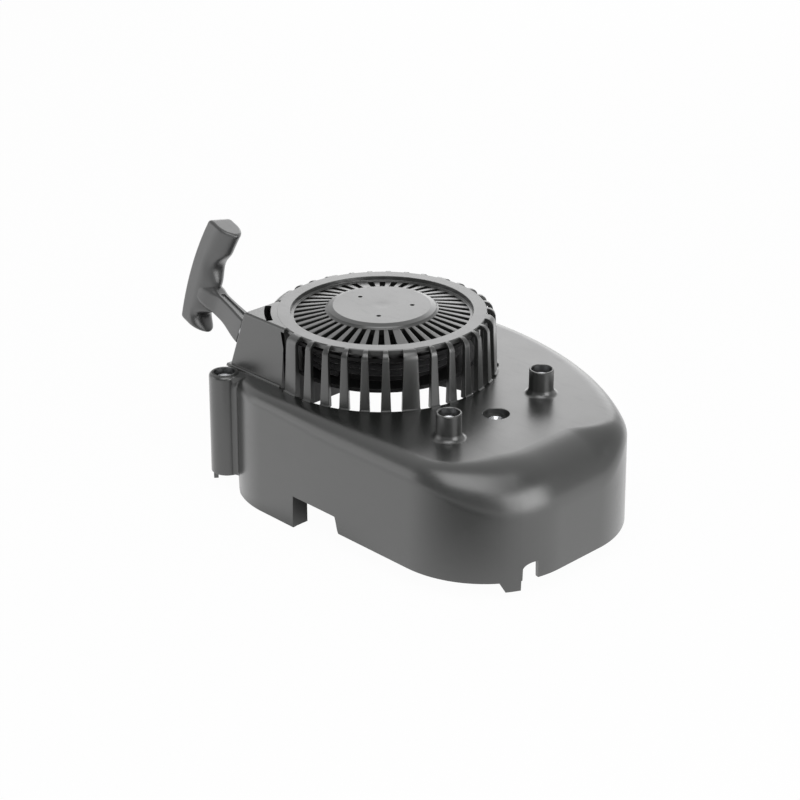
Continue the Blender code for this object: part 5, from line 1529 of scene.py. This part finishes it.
def build_camera():
    camera = bpy.data.cameras.new("photo_camera")
    camera.lens = CAMERA_LENS
    camera.sensor_width = SENSOR
    camera.clip_start = 0.01
    obj = bpy.data.objects.new("photo_camera", camera)
    obj.location = CAMERA_PLACE + SHIFT
    obj.rotation_euler = CAMERA_AIM.to_track_quat("-Z", "Y").to_euler()
    bpy.context.scene.collection.objects.link(obj)
    bpy.context.scene.camera = obj


# Assembly


def main():
    cowl_plastic = moulded_plastic("cowl_finish", (0.012, 0.013, 0.012), 0.35)
    handle_plastic = moulded_plastic("handle_finish", (0.022, 0.023, 0.023), 0.40)
    pulley_plastic = moulded_plastic("pulley_finish", (0.006, 0.006, 0.006), 0.55, 0.3)
    zinc = plated_metal("zinc_finish", (0.70, 0.71, 0.73), 0.26, (0.50, 0.51, 0.54))
    dark_steel = plated_metal("dark_steel_finish", (0.30, 0.30, 0.31), 0.36, (0.20, 0.20, 0.21))
    spring_steel = plated_metal("spring_finish", (0.36, 0.36, 0.38), 0.30, (0.24, 0.23, 0.22))
    rope = braided_fibre("rope_finish", (0.010, 0.010, 0.011))
    build_camera()
    build_studio()

    add_piece(build_shell(), "cowl", cowl_plastic, "cowl_plastic", "fan_cowl")
    for piece in (*build_cage(), build_rope_box()):
        add_piece(piece, "cowl", cowl_plastic, "cowl_plastic", "fan_cowl")
    for piece, node in build_bushes():
        add_piece(piece, "cowl", zinc, "zinc_steel", node)
    add_piece(build_rope_guide(), "cowl", zinc, "zinc_steel", "rope_guide")
    washer = sleeve(SCREW_R + SEAT_GAP, WASHER_R, WASHER_TOP_Z - WASHER_T, WASHER_TOP_Z, EDGE)
    add_piece(new_object("centre_disc_washer", washer), "cowl", zinc, "zinc_steel", "centre_washer")
    add_piece(build_screw(), "cowl", zinc, "zinc_steel", "centre_screw")

    add_piece(build_pulley(), "pulley", pulley_plastic, "pulley_plastic", "rope_pulley")
    winding = swept(winding_points(360), ROPE_R, 20, 0.12)
    add_piece(new_object("wound_rope", winding), "pulley", rope, "rope_fibre", "rope_winding")
    run = swept(curve_through(rope_route(), 0.0009), ROPE_R, 20, 0.12)
    add_piece(new_object("rope_to_guide", run), "cowl", rope, "rope_fibre", "rope_run")
    seat = guide_matrix()
    knot_at = grip_face(0.0) - POCKET_DEPTH
    angle = lead_off()
    knot_r = DRUM_R - DRUM_T - SEAT_GAP - KNOT_R
    knot = new_object("pulley_stopper", knot_solid())
    knot.data.transform(at(knot_r * math.cos(angle), knot_r * math.sin(angle), WIND_Z)
                        @ Matrix.Rotation(angle, 4, "Z") @ Matrix.Rotation(math.pi / 2, 4, "Y"))
    add_piece(knot, "pulley", rope, "rope_fibre", "pulley_knot")
    knot = new_object("handle_stopper", knot_solid())
    knot.data.transform(seat @ at(0.0, 0.0, knot_at + SEAT_GAP + KNOT_R))
    add_piece(knot, "handle", rope, "rope_fibre", "handle_knot")
    add_piece(build_recoil_spring(), "pulley", spring_steel, "spring_steel", "recoil_spring")

    for index, turn in ((1, 0.0), (2, math.pi)):
        add_piece(build_pawl(index, turn), f"pawl_{index}", dark_steel, "dark_steel", f"starter_pawl_{index}")
        spot = Matrix.Rotation(turn, 4, "Z") @ at(PAWL_CIRCLE_R, 0.0)
        low, high = PAWL_Z + SEAT_GAP, WEB_Z - SEAT_GAP
        shank = turned(fillet([(0.0, low), (PAWL_PIN_R, low), (PAWL_PIN_R, high), (0.0, high)], EDGE), 48, spot)
        add_piece(new_object(f"pawl_shank_{index}", shank), "pulley", dark_steel, "dark_steel", f"pawl_pin_{index}")
        coil = coil_points(PAWL_BOSS_R, PAWL_WIRE_R, PULLEY_Z + PAWL_WIRE_R, PAWL_SPRING_PITCH, PAWL_SPRING_TURNS, 48)
        spring = new_object(f"pawl_coil_{index}", swept(coil, PAWL_WIRE_R, 12))
        spring.data.transform(spot)
        add_piece(spring, "pulley", spring_steel, "spring_steel", f"pawl_spring_{index}")
    add_piece(build_pawl_guide(), "pawl_guide", zinc, "zinc_steel", "pawl_guide")
    low = GUIDE_PLATE_TOP_Z + SEAT_GAP + BRAKE_WIRE_R
    high = PULLEY_Z - SEAT_GAP - BRAKE_WIRE_R
    coil = coil_points(POST_R, BRAKE_WIRE_R, low, (high - low) / BRAKE_TURNS, BRAKE_TURNS, 72)
    add_piece(new_object("brake_coil", swept(coil, BRAKE_WIRE_R, 16)), "pulley", spring_steel, "spring_steel",
              "brake_spring")

    handle, cap = build_handle()
    add_piece(handle, "handle", handle_plastic, "handle_plastic", "pull_handle")
    add_piece(cap, "handle", pulley_plastic, "pulley_plastic", "handle_cap")
    tail = [seat @ Vector((0.0, 0.0, SEAT_GAP + (knot_at - SEAT_GAP) * k / 60)) for k in range(61)]
    rope_tail = new_object("rope_in_handle", swept(tail, ROPE_R, 20))
    rope_tail.data.materials.append(rope)
    rope_tail.data.transform(Matrix.Translation(SHIFT))
    finish_mesh(rope_tail)
    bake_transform(rope_tail)
    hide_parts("rope_tail")


main()
